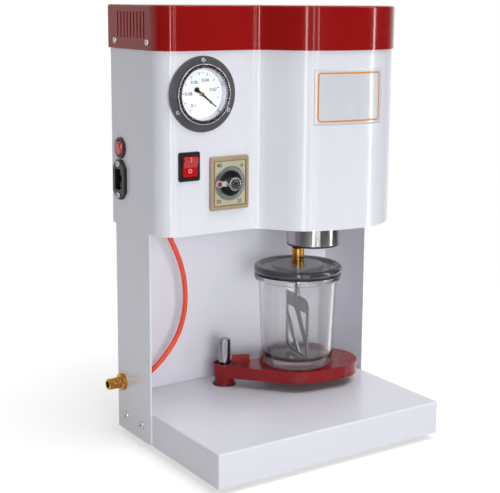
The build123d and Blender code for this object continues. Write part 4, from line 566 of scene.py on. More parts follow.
INK = Finish("black_ink", Sheen.PAINT, srgb(30, 30, 34), srgb(40, 40, 44), rough=0.5, mottle=0.3,
             mottle_scale=300.0, relief=0.000004)
PALE_INK = Finish("pale_ink", Sheen.PAINT, srgb(255, 206, 200), srgb(250, 188, 182), rough=0.4,
                  mottle=0.3, mottle_scale=300.0, relief=0.000004)
ORANGE_INK = Finish("orange_ink", Sheen.PAINT, srgb(226, 150, 66), srgb(214, 134, 50), rough=0.35,
                    mottle=0.4, mottle_scale=60.0, relief=0.000004)
LABEL_FILM = Finish("label_film", Sheen.PAINT, srgb(216, 219, 226), srgb(203, 207, 216), rough=0.3,
                    mottle=0.6, mottle_scale=16.0, relief=0.000006, coat=0.4)
GLASS = Finish("flat_glass", Sheen.CLEAR, (0.97, 0.98, 0.98), (0.94, 0.96, 0.96), rough=0.01,
               spread=0.0, mottle=0.2, mottle_scale=20.0, relief=0.000001, specular=0.25)
# Below a height of 81 mm, fading out by 88.5 mm, the clear foot is tinted dark red-brown: painted shade and
# the red tray seen through it.
CUP_CLEAR = Finish("clear_cup_moulding", Sheen.CLEAR, (0.86, 0.855, 0.85), (0.8, 0.795, 0.79), rough=0.02,
                   spread=0.02, mottle=0.4, mottle_scale=24.0, wave=50.0, relief=0.00003, slow=2.0,
                   zone=Zone((0.2, 0.135, 0.13), 0.081, 0.0885))
SPUN_DIAL = Finish("spun_timer_dial", Sheen.METAL, srgb(186, 186, 184), srgb(128, 128, 128), rough=0.34,
                   spread=0.1, mottle=0.5, mottle_scale=60.0, relief=0.000006,
                   stretch=(500.0, 500.0, 500.0), streak=0.3)
KNOB_SILVER = Finish("silver_knob_moulding", Sheen.METAL, srgb(196, 196, 200), srgb(96, 96, 102), rough=0.2,
                     spread=0.1, mottle=0.5, mottle_scale=260.0, relief=0.00002, streak=0.6)
POINTER_BROWN = Finish("pointer_moulding", Sheen.PLASTIC, srgb(120, 62, 62), srgb(92, 44, 46), rough=0.25,
                       mottle=0.5, mottle_scale=200.0, relief=0.000006, coat=0.5)
REFLECTOR = Finish("gauge_reflector_plate", Sheen.METAL, srgb(222, 223, 228), srgb(176, 178, 184),
                   rough=0.22, spread=0.06, mottle=0.3, mottle_scale=40.0, relief=0.000002, streak=0.3)
NEEDLE_BLACK = Finish("needle_black_enamel", Sheen.PAINT, srgb(16, 16, 18), srgb(28, 28, 30), rough=0.35,
                      mottle=0.4, mottle_scale=200.0, relief=0.000004, specular=0.3)
KNOB_BLACK = Finish("black_knob_moulding", Sheen.PLASTIC, srgb(20, 20, 22), srgb(34, 34, 36), rough=0.18,
                    spread=0.08, mottle=0.5, mottle_scale=120.0, grain=1600.0, relief=0.00001)
POINTER_PALE = Finish("pale_pointer_moulding", Sheen.PLASTIC, srgb(196, 190, 190), srgb(170, 160, 160),
                      rough=0.2, spread=0.08, mottle=0.5, mottle_scale=160.0, relief=0.00001, coat=0.3)
TIMER_LIP = Finish("timer_lip_moulding", Sheen.PLASTIC, srgb(140, 112, 78), srgb(120, 96, 64), rough=0.4,
                   spread=0.1, mottle=0.5, mottle_scale=80.0, relief=0.00001)
BUSH_BRONZE = Finish("dark_oiled_bush", Sheen.METAL, srgb(92, 76, 64), srgb(56, 48, 42), rough=0.4,
                     mottle=0.6, mottle_scale=150.0, relief=0.00001)
BLADE_STEEL = Finish("stirring_steel", Sheen.METAL, srgb(150, 150, 154), srgb(104, 104, 108), rough=0.3,
                     spread=0.12, mottle=0.5, mottle_scale=70.0, relief=0.000006,
                     stretch=(500.0, 500.0, 60.0), streak=0.5)
PIN_METAL = Finish("contact_pins", Sheen.METAL, srgb(120, 118, 112), srgb(84, 82, 78), rough=0.45,
                   mottle=0.4, mottle_scale=120.0, relief=0.00001)
HOSE_ORANGE = Finish("orange_hose", Sheen.PLASTIC, srgb(247, 74, 30), srgb(232, 58, 22), rough=0.26,
                     spread=0.06, mottle=0.5, mottle_scale=40.0, grain=900.0, relief=0.00001,
                     coat=0.3)

DRESS: dict[Finish, tuple[str, ...]] = {
    WHITE_PAINT: ("base_pan", "column", "head_shell", "head_floor", "rear_cover"),
    RED_CAP: ("top_cap",),
    RED_ARM: ("arm_sleeve", "arm_tray", "arm_strap"),
    GAUGE_PAINT: ("gauge_flange", "gauge_case"),
    STEEL: ("bottom_plate", "head_brackets", "post_washer", "post_nut", "drive_spindle", "output_gear",
            "motor_rotor", "motor_case"),
    PIN_METAL: ("inlet_pins",),
    POST_STEEL: ("swing_post",),
    BUSH_BRONZE: ("lift_bush",),
    BLADE_STEEL: ("paddle_shaft", "paddle_blade"),
    SCREW_STEEL: ("bottom_screws", "column_screws", "rear_cover_screws", "top_cap_screws", "gauge_screws",
                  "inlet_screws", "chamber_screws"),
    CHROME: ("gauge_bezel", "seal_chamber"),
    BRASS: ("hose_fitting", "fitting_nut", "paddle_hub", "spindle_bearings", "vacuum_manifold"),
    CAST: ("gearbox_case", "gearbox_cover"),
    RUBBER: ("rubber_feet", "hose_grommet", "lid_gasket", "chamber_gasket"),
    BLACK_PLASTIC: ("gauge_needle", "power_switch_body", "mains_inlet", "side_switch_body"),
    DARK_PLASTIC: ("cup_lid",),
    RED_PLASTIC: ("power_switch_rocker", "side_switch_rocker"),
    TIMER_FRAME: ("timer_case",),
    TIMER_CARD: ("timer_face",),
    DIAL_WHITE: ("gauge_dial",),
    SPUN_DIAL: ("timer_dial", "timer_knob"),
    GLASS: ("gauge_glass",),
    CUP_CLEAR: ("cup",),
    HOSE_ORANGE: ("vacuum_tubes",),
}


@dataclass(frozen=True)
class Dressing:
    """The body that a piece rides on, a material slot name and its finish."""

    body: str
    slot: str
    finish: Finish


def grid_faces(rows: int, columns: int, close_rows: bool = False, close_columns: bool = False) -> np.ndarray:
    """Number the four corners of every cell of a grid of points.

    Args:
        rows: Points along the first parameter.
        columns: Points along the second parameter.
        close_rows: Whether the last row joins the first.
        close_columns: Whether the last column joins the first.

    Returns:
        An array of faces, four point numbers each.
    """
    first = np.arange(rows if close_rows else rows - 1)[:, None]
    second = np.arange(columns if close_columns else columns - 1)[None, :]
    after_first, after_second = (first + 1) % rows, (second + 1) % columns
    corners = (first * columns + second, after_first * columns + second,
               after_first * columns + after_second, first * columns + after_second)
    return np.stack(np.broadcast_arrays(*corners), axis=-1).reshape(-1, 4)


def make_piece(name: str, points: np.ndarray, faces: np.ndarray | Sequence[Sequence[int]],
               dressing: Dressing, smooth: bool = True) -> bpy.types.Object:
    """Turn arrays into a finished piece.

    Args:
        name: The piece's name.
        points: Places, one row each.
        faces: Point numbers of each face.
        dressing: Its body, slot and finish.
        smooth: Whether its faces are shaded as one curved surface.

    Returns:
        The new object.
    """
    mesh = bpy.data.meshes.new(name)
    corners = faces.tolist() if isinstance(faces, np.ndarray) else faces
    mesh.from_pydata(np.asarray(points, float).tolist(), [], corners)
    mesh.validate()
    return finish_piece(name, mesh, dressing, smooth)


def finish_piece(name: str, mesh: bpy.types.Mesh, dressing: Dressing, smooth: bool = True,
                 sharp_deg: float = 32.0) -> bpy.types.Object:
    """Close up a mesh, turn its faces outwards and link it as a piece.

    Args:
        name: The piece's name.
        mesh: Its mesh, in place.
        dressing: Its body, slot and finish.
        smooth: Whether its faces are shaded as one curved surface.
        sharp_deg: Edges that turn more than this stay sharp.

    Returns:
        The new object.
    """
    shape = bmesh.new()
    shape.from_mesh(mesh)
    bmesh.ops.remove_doubles(shape, verts=shape.verts, dist=SAME_PLACE)
    bmesh.ops.recalc_face_normals(shape, faces=shape.faces)
    shape.to_mesh(mesh)
    shape.free()
    if smooth:
        mesh.shade_smooth()
        mesh.set_sharp_from_angle(angle=math.radians(sharp_deg))
    piece = bpy.data.objects.new(name, mesh)
    bpy.context.scene.collection.objects.link(piece)
    mesh.materials.clear()
    mesh.materials.append(dressing.finish.material())
    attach(piece, dressing.body)
    return piece


def lathe(name: str, profile: Iterable[Pair], origin: Vector, dressing: Dressing, turns: int = 96,
          flutes: int = 0, flute_depth: float = 0.0) -> bpy.types.Object:
    """A closed ring or disc turned about an axis that looks to -Y.

    A point at angle a and profile row (r, h) lies at r(1 - d (1 + cos(n a)) / 2) from the axis and h
    along it, where n flutes of depth d cut into the radius.

    Args:
        name: The piece's name.
        profile: Pairs of radius and distance along the axis, in millimetres. It ends where it
            starts, or on the axis.
        origin: Where the axis starts.
        dressing: Its body, slot and finish.
        turns: Points round the axis.
        flutes: Number of flutes round it.
        flute_depth: Share of the radius that a flute takes.

    Returns:
        The new object.
    """
    rows = np.array(list(profile), float) * MM
    angle = np.linspace(0, 2 * np.pi, turns, endpoint=False)[None, :]
    radius, along = rows[:, :1], rows[:, 1:2]
    cut = 1 - flute_depth * (1 + np.cos(flutes * angle)) / 2 if flutes else 1.0
    across, up = radius * cut * np.cos(angle), radius * cut * np.sin(angle)
    places = np.stack([across, -np.broadcast_to(along, across.shape), up], axis=-1)
    ring = bool(radius.min() > SAME_PLACE)
    faces = grid_faces(len(rows), turns, close_rows=ring, close_columns=True)
    return make_piece(name, places.reshape(-1, 3) + np.array(origin), faces, dressing)


def ticks(angles: np.ndarray, inner: float, outer: float, width: float, thick: float,
          origin: Vector) -> tuple[np.ndarray, np.ndarray]:
    """Small upright boxes along the radii of a dial that looks to -Y.

    Args:
        angles: Each tick's direction in radians, from +X towards +Z.
        inner: Its inner end's radius, in millimetres, as the next three lengths are.
        outer: Its outer end's radius.
        width: Its width.
        thick: How far it stands off the face.
        origin: The dial's middle, on its face.

    Returns:
        Places and faces of all the boxes.
    """
    along = np.array([inner, outer])[None, :, None, None]
    across = np.array([-width / 2, width / 2])[None, None, :, None]
    high = np.array([0.0, -thick])[None, None, None, :]
    cos, sin = np.cos(angles)[:, None, None, None], np.sin(angles)[:, None, None, None]
    x = along * cos - across * sin + 0 * high
    z = along * sin + across * cos + 0 * high
    y = high + 0 * x
    points = np.stack([x, y, z], axis=-1).reshape(-1, 3) * MM + np.array(origin)
    cube = np.array([[0, 1, 3, 2], [4, 6, 7, 5], [0, 4, 5, 1], [2, 3, 7, 6], [0, 2, 6, 4], [1, 5, 7, 3]])
    faces = (np.arange(len(angles)) * 8)[:, None, None] + cube[None, :, :]
    return points, faces.reshape(-1, 4)


def flat_text(words: str, size: float, middle: Vector, thick: float,
              bolder: float = 0.015) -> bpy.types.Mesh:
    """Plain numbers or marks as a mesh that looks to -Y.

    Args:
        words: The characters.
        size: Height of the letters' box, in millimetres.
        middle: Where their middle stands.
        thick: How thick they are, in millimetres.
        bolder: Share of their height by which strokes grow on each side.

    Returns:
        The mesh, in place.
    """
    curve = bpy.data.curves.new("mark", "FONT")
    curve.body, curve.size = words, size * MM
    curve.align_x, curve.align_y = "CENTER", "CENTER"
    curve.extrude, curve.offset, curve.resolution_u = thick * MM / 2, curve.size * bolder, 4
    holder = bpy.data.objects.new("mark", curve)
    bpy.context.scene.collection.objects.link(holder)
    ready = holder.evaluated_get(bpy.context.evaluated_depsgraph_get())
    mesh = bpy.data.meshes.new_from_object(ready)
    bpy.data.objects.remove(holder)
    mesh.transform(Matrix.Translation(middle) @ Matrix.Rotation(math.pi / 2, 4, "X"))
    return mesh


def join_meshes(name: str, meshes: Sequence[bpy.types.Mesh]) -> bpy.types.Mesh:
    """Gather several meshes in one.

    Args:
        name: The new mesh's name.
        meshes: The meshes.

    Returns:
        The new mesh.
    """
    shape = bmesh.new()
    for mesh in meshes:
        shape.from_mesh(mesh)
    joined = bpy.data.meshes.new(name)
    shape.to_mesh(joined)
    shape.free()
    return joined


def apply_modifiers(piece: bpy.types.Object) -> None:
    """Turn a piece's modifiers into its mesh.

    Args:
        piece: The piece.
    """
    bpy.context.view_layer.update()
    ready = piece.evaluated_get(bpy.context.evaluated_depsgraph_get())
    done = bpy.data.meshes.new_from_object(ready)
    piece.modifiers.clear()
    piece.data = done


@dataclass(frozen=True)
class Print:
    """A thin print on a sub-part that looks to -Y. Lengths are millimetres.

    It starts clear in front of the sub-part, is pressed on it along +Y, and then gets a thickness
    that reaches just into it.
    """

    node: str
    clear: float
    sunk: float = 0.03

    def lay(self, name: str, x: np.ndarray, z: np.ndarray, closed: bool, proud: float,
            dressing: Dressing) -> bpy.types.Object:
        """Lay a grid of places on the sub-part.

        Args:
            name: The piece's name.
            x: X of every place of the grid.
            z: Z of every place.
            closed: Whether the grid's columns close to a ring.
            proud: How far its face stands off the sub-part.
            dressing: Its body, slot and finish.

        Returns:
            The print.
        """
        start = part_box(self.node)[0].y - self.clear * MM
        places = np.column_stack([x.ravel() * MM, np.full(x.size, start), z.ravel() * MM])
        piece = make_piece(name, places, grid_faces(*x.shape, close_columns=closed), dressing)
        bpy.context.view_layer.update()
        wrap = piece.modifiers.new("lay", "SHRINKWRAP")
        wrap.wrap_method, wrap.target = "PROJECT", bpy.data.objects[self.node]
        wrap.use_project_y, wrap.use_positive_direction, wrap.use_negative_direction = True, True, False
        wrap.offset = proud * MM
        apply_modifiers(piece)
        if sum(face.normal.y for face in piece.data.polygons) > 0:
            piece.data.flip_normals()
        wall = piece.modifiers.new("wall", "SOLIDIFY")
        wall.thickness, wall.offset = (proud + self.sunk) * MM, -1.0
        apply_modifiers(piece)
        return piece


@dataclass
class VacuumHose:
    """The orange hose, from the fitting in the left flange up through the head's floor."""

    diameter: float = 0.006
    length: float = 0.2567
    round_steps: int = 8
    curve_steps: int = 16
    route: Sequence[Point] = (
        (-0.1105, 0.078, 0.28), (-0.1105, 0.078, 0.266), (-0.1075, 0.0786, 0.2515), (-0.1005, 0.0798, 0.237),
        (-0.0922, 0.0815, 0.2223), (-0.0844, 0.0832, 0.2046), (-0.0786, 0.0848, 0.1852),
        (-0.076, 0.0864, 0.1658), (-0.0758, 0.088, 0.1474), (-0.0794, 0.0896, 0.1276),
        (-0.087, 0.0912, 0.1092), (-0.098, 0.0928, 0.0936), (-0.1096, 0.0946, 0.081),
        (-0.121, 0.0966, 0.0712), (-0.134, 0.098, 0.0665), (-0.146, 0.098, 0.0665))

    def build(self) -> list[bpy.types.Object]:
        """Returns:
            The hose.
        """
        curve = bpy.data.curves.new("vacuum_hose_line", "CURVE")
        curve.dimensions = "3D"
        curve.bevel_depth = self.diameter / 2
        curve.bevel_resolution = self.round_steps
        curve.resolution_u = self.curve_steps
        curve.use_fill_caps = True
        spline = curve.splines.new("NURBS")
        spline.points.add(len(self.route) - 1)
        rows = np.column_stack([np.array(self.route), np.ones(len(self.route))])
        spline.points.foreach_set("co", rows.ravel())
        spline.order_u = 3
        spline.use_endpoint_u = True
        hose = bpy.data.objects.new("vacuum_hose_line", curve)
        bpy.context.scene.collection.objects.link(hose)
        curve.materials.append(HOSE_ORANGE.material())
        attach(hose, "root")
        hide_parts("vacuum_hose")
        return [hose]


def ring_profile(inner: float, outer: float, low: float, high: float, edge: float = 0.0) -> list[Pair]:
    """A ring's closed section, with cut corners in front.

    Args:
        inner: The inner radius.
        outer: The outer radius.
        low: Where it starts along the axis.
        high: Where it ends.
        edge: How much is cut off each front corner.

    Returns:
        Pairs of radius and distance along the axis.
    """
    return [(inner, low), (outer, low), (outer, high - edge), (outer - edge, high), (inner + edge, high),
            (inner, high - edge)]


def dome_profile(radius: float, low: float, high: float, round_off: float, steps: int = 8) -> list[Pair]:
    """A disc's section from its back to its rounded front edge and its middle.

    The edge is a quarter circle of radius r: radius - r(1 - cos t) and high - r(1 - sin t).

    Args:
        radius: The disc's radius.
        low: Where it starts along the axis.
        high: Where it ends.
        round_off: The edge's radius.
        steps: Points on the edge.

    Returns:
        Pairs of radius and distance along the axis.
    """
    turn = np.linspace(0, np.pi / 2, steps)
    edge = zip(radius - round_off * (1 - np.cos(turn)), high - round_off * (1 - np.sin(turn)))
    return [(0, low), (radius, low), *edge, (0, high)]


def open_circle(radius: float, gap_deg: float, middle: float, steps: int) -> np.ndarray:
    """Most of a circle in X and Z, left open toward +X where a bar joins it.

    Args:
        radius: The circle's radius.
        gap_deg: Half of the angle that stays open.
        middle: X of its middle.
        steps: Points on it.

    Returns:
        Rows of X and Z.
    """
    turn = np.linspace(np.radians(gap_deg), np.radians(360 - gap_deg), steps)
    return np.column_stack([np.cos(turn), np.sin(turn)]) * radius + [middle, 0]


def prism(outline: np.ndarray, near: float, far: float) -> tuple[np.ndarray, list[list[int]]]:
    """A flat outline in X and Z, given thickness along Y.

    Args:
        outline: Rows of X and Z.
        near: Y of the front.
        far: Y of the back.

    Returns:
        Places and faces.
    """
    count = len(outline)
    front = np.column_stack([outline[:, 0], np.full(count, near), outline[:, 1]])
    back = np.column_stack([outline[:, 0], np.full(count, far), outline[:, 1]])
    first = np.arange(count)
    after = (first + 1) % count
    sides = np.column_stack([first, after, after + count, first + count]).tolist()
    return np.vstack([front, back]), [first.tolist(), (first[::-1] + count).tolist(), *sides]


def turned(outline: np.ndarray, angle: float) -> np.ndarray:
    """Turn an outline about its origin.

    Args:
        outline: Rows of X and Z.
        angle: The angle in radians, from +X towards +Z.

    Returns:
        The turned rows.
    """
    cos, sin = math.cos(angle), math.sin(angle)
    return outline @ np.array([[cos, sin], [-sin, cos]])


@dataclass
class VacuumGauge:
    """Print, reflector ring and needle of the round gauge. Lengths are millimetres."""

    rest_deg: float = -38.0
    sweep_deg: float = 270.0
    labels: Sequence[str] = ("0", "0.02", "0.04", "0.06", "0.08", "0.1")
    label_r: float = 15.6
    label_size: float = 5.2
    mark_t: float = 0.08
    tick_outer: float = 24.0
    coarse_ticks: tuple[int, float, float] = (11, 20.4, 0.75)
    fine_ticks: tuple[int, float, float] = (51, 22.6, 0.3)
    ring_front: float = 3.4
    ring_outer: float = 29.2
    ring_inner: float = 26.4
    ring_sunk: float = 0.05
    ring_lip: Pair = (0.4, 0.7)
    ring_front_wall: float = 0.9
    needle_lift: float = 1.6
    needle_t: float = 0.5
    needle_length: float = 24.0
    needle_half_widths: Pair = (1.25, 0.22)
    tail_at: float = 8.0
    tail_r: float = 2.9
    tail_gap_deg: float = 24.0
    hub: tuple[float, float, float, float] = (2.3, 0.1, 3.3, 0.7)

    def build(self) -> list[bpy.types.Object]:
        """Build every piece of the gauge.

        Returns:
            The pieces.
        """
        middle = centre("gauge_dial")
        self.face = Vector((middle.x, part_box("gauge_dial")[0].y, middle.z))
        self.seat = Vector((middle.x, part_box("gauge_flange")[1].y, middle.z))
        return [self.reflector(), self.scale_ticks(), self.numbers(), self.needle(), self.needle_hub()]

    def angles(self, count: int) -> np.ndarray:
        """Even steps over the scale, in radians."""
        return math.radians(self.rest_deg) + math.radians(self.sweep_deg) * np.linspace(0, 1, count)

    def reflector(self) -> bpy.types.Object:
        """A bright cone between the bezel and the dial.

        Returns:
            The cone.
        """
        back = (self.seat.y - self.face.y) / MM + self.ring_sunk
        lip_in, lip_up = self.ring_lip
        section = [(self.ring_outer, self.ring_front), (self.ring_outer, back), (self.ring_inner, back),
                   (self.ring_inner + lip_in, back + lip_up),
                   (self.ring_outer - self.ring_front_wall, self.ring_front)]
        return lathe("gauge_reflector", section, self.seat, Dressing("root", "chrome", REFLECTOR))

    def scale_ticks(self) -> bpy.types.Object:
        """Coarse and fine ticks round the scale.

        Returns:
            All the ticks, as one piece.
        """
        parts = [ticks(self.angles(count), inner, self.tick_outer, width, self.mark_t, self.face)
                 for count, inner, width in (self.coarse_ticks, self.fine_ticks)]
        (coarse, coarse_faces), (fine, fine_faces) = parts
        faces = np.vstack([coarse_faces, fine_faces + len(coarse)])
        return make_piece("gauge_scale_ticks", np.vstack([coarse, fine]), faces,
                          Dressing("root", "dial", INK), smooth=False)

    def numbers(self) -> bpy.types.Object:
        """The plain numbers of the scale.

        Returns:
            All the numbers, as one piece.
        """
        meshes = []
        for angle, words in zip(self.angles(len(self.labels)), self.labels):
            place = Vector((math.cos(angle), 0, math.sin(angle))) * self.label_r * MM
            meshes.append(flat_text(words, self.label_size, self.face + place, self.mark_t))
        return finish_piece("gauge_numbers", join_meshes("gauge_numbers", meshes),
                            Dressing("root", "dial", INK), smooth=False)

    def needle(self) -> bpy.types.Object:
        """A black pointer with a round tail.

        Returns:
            The pointer.
        """
        root, tip = self.needle_half_widths
        blade = np.array([(0.0, -root), (self.needle_length, -tip), (self.needle_length, tip), (0.0, root)])
        tail = open_circle(self.tail_r, self.tail_gap_deg, -self.tail_at, 40)
        outline = turned(np.vstack([blade, tail]), math.radians(self.rest_deg)) * MM
        outline += [self.face.x, self.face.z]
        back = self.face.y - self.needle_lift * MM
        points, faces = prism(outline, back - self.needle_t * MM, back)
        dressing = Dressing("needle", "black_plastic", NEEDLE_BLACK)
        arm = make_piece("gauge_needle_arm", points, faces, dressing, smooth=False)
        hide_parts("gauge_needle")
        return arm

    def needle_hub(self) -> bpy.types.Object:
        """A brass cap over the needle's middle."""
        return lathe("gauge_needle_hub", dome_profile(*self.hub), self.face,
                     Dressing("needle", "brass", BRASS), turns=40)


@dataclass
class PowerSwitch:
    """The plain marks on the front rocker. Lengths are millimetres."""

    bar_h: float = 4.6
    bar_w: float = 0.8
    ring_r: float = 1.9
    ring_w: float = 0.6
    ring_steps: int = 48
    bar_lift: float = 8.0
    ring_lift: float = -4.6
    proud: float = 0.05
    clear: float = 4.0

    def build(self) -> list[bpy.types.Object]:
        """Lay a bar above and a ring below the middle.

        Returns:
            The two marks.
        """
        bar = np.meshgrid(np.linspace(-self.bar_w / 2, self.bar_w / 2, 3),
                          np.linspace(-self.bar_h / 2, self.bar_h / 2, 9) + self.bar_lift)
        turn = np.linspace(0, 2 * np.pi, self.ring_steps, endpoint=False)[None, :]
        radius = np.linspace(self.ring_r - self.ring_w / 2, self.ring_r + self.ring_w / 2, 3)[:, None]
        ring = (radius * np.cos(turn), radius * np.sin(turn) + self.ring_lift)
        return [self.mark("rocker_bar_mark", bar, False), self.mark("rocker_ring_mark", ring, True)]

    def mark(self, name: str, grid: Sequence[np.ndarray], closed: bool) -> bpy.types.Object:
        """Lay one mark on the rocker.

        Args:
            name: The piece's name.
            grid: X and Z of its places, from the rocker's middle.
            closed: Whether the grid's columns close to a ring.

        Returns:
            The mark.
        """
        middle = centre("power_switch_rocker") / MM
        return Print("power_switch_rocker", self.clear).lay(
            name, grid[0] + middle.x, grid[1] + middle.z, closed, self.proud,
            Dressing("rocker", "red_plastic", PALE_INK))


@dataclass
class CountdownTimer:
    """Inner lip, plain numbers, spun ring, knob and round pointer of the timer. Millimetres."""

    ring_section: tuple[float, ...] = (13.6, 19.8, 0.02, 1.0, 0.3)
    tick_inner: float = 17.6
    tick_outer: float = 19.0
    tick_w: float = 0.22
    tick_t: float = 0.05
    tick_count: int = 31
    tick_half_sweep_deg: float = 165.0
    skirt: tuple[float, ...] = (14.6, 0.6, 2.9, 1.1)
    grip_foot: float = 2.6
    grip_r: float = 7.9
    grip_length: float = 9.6
    grip_round: float = 1.4
    flutes: int = 14
    flute_depth: float = 0.09
    rim_inner: float = 3.0
    rim_outer: float = 5.3
    rim_taper: float = 0.2
    rim_sunk: float = 0.3
    rim_proud: float = 0.25
    lip_w: float = 0.9
    lip_h: float = 1.1
    lip_inner_h: float = 0.05
    lip_clear: float = 0.1
    face_w: float = 42.0
    face_h: float = 51.0
    mark_lift: float = 0.04
    mark_t: float = 0.08
    arm_back: float = 1.4
    arm_front: float = 4.4
    neck_at: float = -6.0
    neck_half_w: float = 3.0
    head_at: float = -16.2
    head_r: float = 4.0
    head_gap_deg: float = 40.0
    window: tuple[float, ...] = (2.9, 4.2, 5.3, 0.9)
    numbers: Sequence[tuple[str, float, float, float]] = (
        ("10", 14.6, 18.6, 5.0), ("20", 12.4, -21.2, 6.0),
        ("30", -14.8, -20.2, 6.0), ("40", -14.0, 20.2, 6.0))

    def build(self) -> list[bpy.types.Object]:
        """Build every piece of the timer.

        Returns:
            The pieces.
        """
        low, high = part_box("timer_face")
        self.face = Vector(((low.x + high.x) / 2, low.y, (low.z + high.z) / 2))
        return [self.lip(), self.face_numbers(), self.dial_ring(), self.dial_ticks(), self.knob_skirt(),
                self.knob_grip(), self.knob_rim(), self.pointer_arm(), self.pointer_window()]

    def at(self, x: float, lift: float, z: float) -> Vector:
        """A place given in millimetres right of, in front of and above the face's middle."""
        return self.face + Vector((x, -lift, z)) * MM

    def lip(self) -> bpy.types.Object:
        """A raised line between frame and face: four corners by the four points of its section.

        Returns:
            The line.
        """
        section = np.array([(0, 0), (0, self.lip_h), (-self.lip_w, self.lip_h),
                            (-self.lip_w, self.lip_inner_h)])
        sign = np.array([(-1, -1), (1, -1), (1, 1), (-1, 1)])
        half_x = self.face_w / 2 + self.lip_clear + section[:, 0]
        half_z = self.face_h / 2 + self.lip_clear + section[:, 0]
        x = sign[:, :1] * half_x[None, :]
        z = sign[:, 1:] * half_z[None, :]
        y = np.broadcast_to(-section[:, 1][None, :], x.shape)
        points = np.stack([x, y, z], axis=-1).reshape(-1, 3) * MM + np.array(self.face)
        faces = grid_faces(4, 4, close_rows=True, close_columns=True)
        return make_piece("timer_lip", points, faces, Dressing("root", "timer_plastic", TIMER_LIP),
                          smooth=False)

    def face_numbers(self) -> bpy.types.Object:
        """Plain numbers in the face's corners.

        Returns:
            All the numbers, as one piece.
        """
        meshes = [flat_text(words, size, self.at(x, self.mark_lift, z), self.mark_t)
                  for words, x, z, size in self.numbers]
        return finish_piece("timer_numbers", join_meshes("timer_numbers", meshes),
                            Dressing("root", "face", INK), smooth=False)

    def dial_ring(self) -> bpy.types.Object:
        """A spun ring round the knob, with cut edges.

        Returns:
            The ring.
        """
        ring = lathe("timer_dial_ring", ring_profile(*self.ring_section), self.face,
                     Dressing("root", "dial", SPUN_DIAL), turns=120)
        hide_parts("timer_dial")
        return ring

    def dial_ticks(self) -> bpy.types.Object:
        """Short ticks on the ring.

        Returns:
            All the ticks, as one piece.
        """
        sweep = math.radians(self.tick_half_sweep_deg)
        front = self.at(0, self.ring_section[3], 0)
        points, faces = ticks(np.linspace(-sweep, sweep, self.tick_count), self.tick_inner, self.tick_outer,
                              self.tick_w, self.tick_t, front)
        return make_piece("timer_dial_ticks", points, faces, Dressing("root", "dial", INK), smooth=False)

    def knob_skirt(self) -> bpy.types.Object:
        """The knob's black skirt.

        Returns:
            The skirt.
        """
        skirt = lathe("timer_knob_skirt", dome_profile(*self.skirt), self.face,
                      Dressing("knob", "knob", KNOB_BLACK))
        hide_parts("timer_knob")
        return skirt

    def knob_grip(self) -> bpy.types.Object:
        """The knob's fluted bright grip."""
        return lathe("timer_knob_grip", dome_profile(self.grip_r, 0.0, self.grip_length, self.grip_round),
                     self.at(0, self.grip_foot, 0), Dressing("knob", "knob", KNOB_SILVER), turns=168,
                     flutes=self.flutes, flute_depth=self.flute_depth)

    def knob_rim(self) -> bpy.types.Object:
        """A low ring on the grip's front.

        Returns:
            The ring.
        """
        low, high = self.grip_length - self.rim_sunk, self.grip_length + self.rim_proud
        section = [(self.rim_inner, low), (self.rim_outer, low), (self.rim_outer - self.rim_taper, high),
                   (self.rim_inner + self.rim_taper, high)]
        return lathe("timer_knob_ring", section, self.at(0, self.grip_foot, 0),
                     Dressing("knob", "knob", KNOB_SILVER), turns=64)

    def pointer_arm(self) -> bpy.types.Object:
        """A pale wedge from the grip to a round head.

        Returns:
            The wedge.
        """
        head = open_circle(self.head_r, self.head_gap_deg, self.head_at, 30)
        neck = np.array([(self.neck_at, -self.neck_half_w), (self.neck_at, self.neck_half_w)])
        outline = np.vstack([head, neck]) * MM + [self.face.x, self.face.z]
        points, faces = prism(outline, self.face.y - self.arm_front * MM, self.face.y - self.arm_back * MM)
        return make_piece("timer_pointer_arm", points, faces, Dressing("knob", "knob", POINTER_PALE))

    def pointer_window(self) -> bpy.types.Object:
        """The brown window in the pointer's head."""
        return lathe("timer_pointer_window", dome_profile(*self.window), self.at(self.head_at, 0, 0),
                     Dressing("knob", "knob", POINTER_BROWN), turns=48)


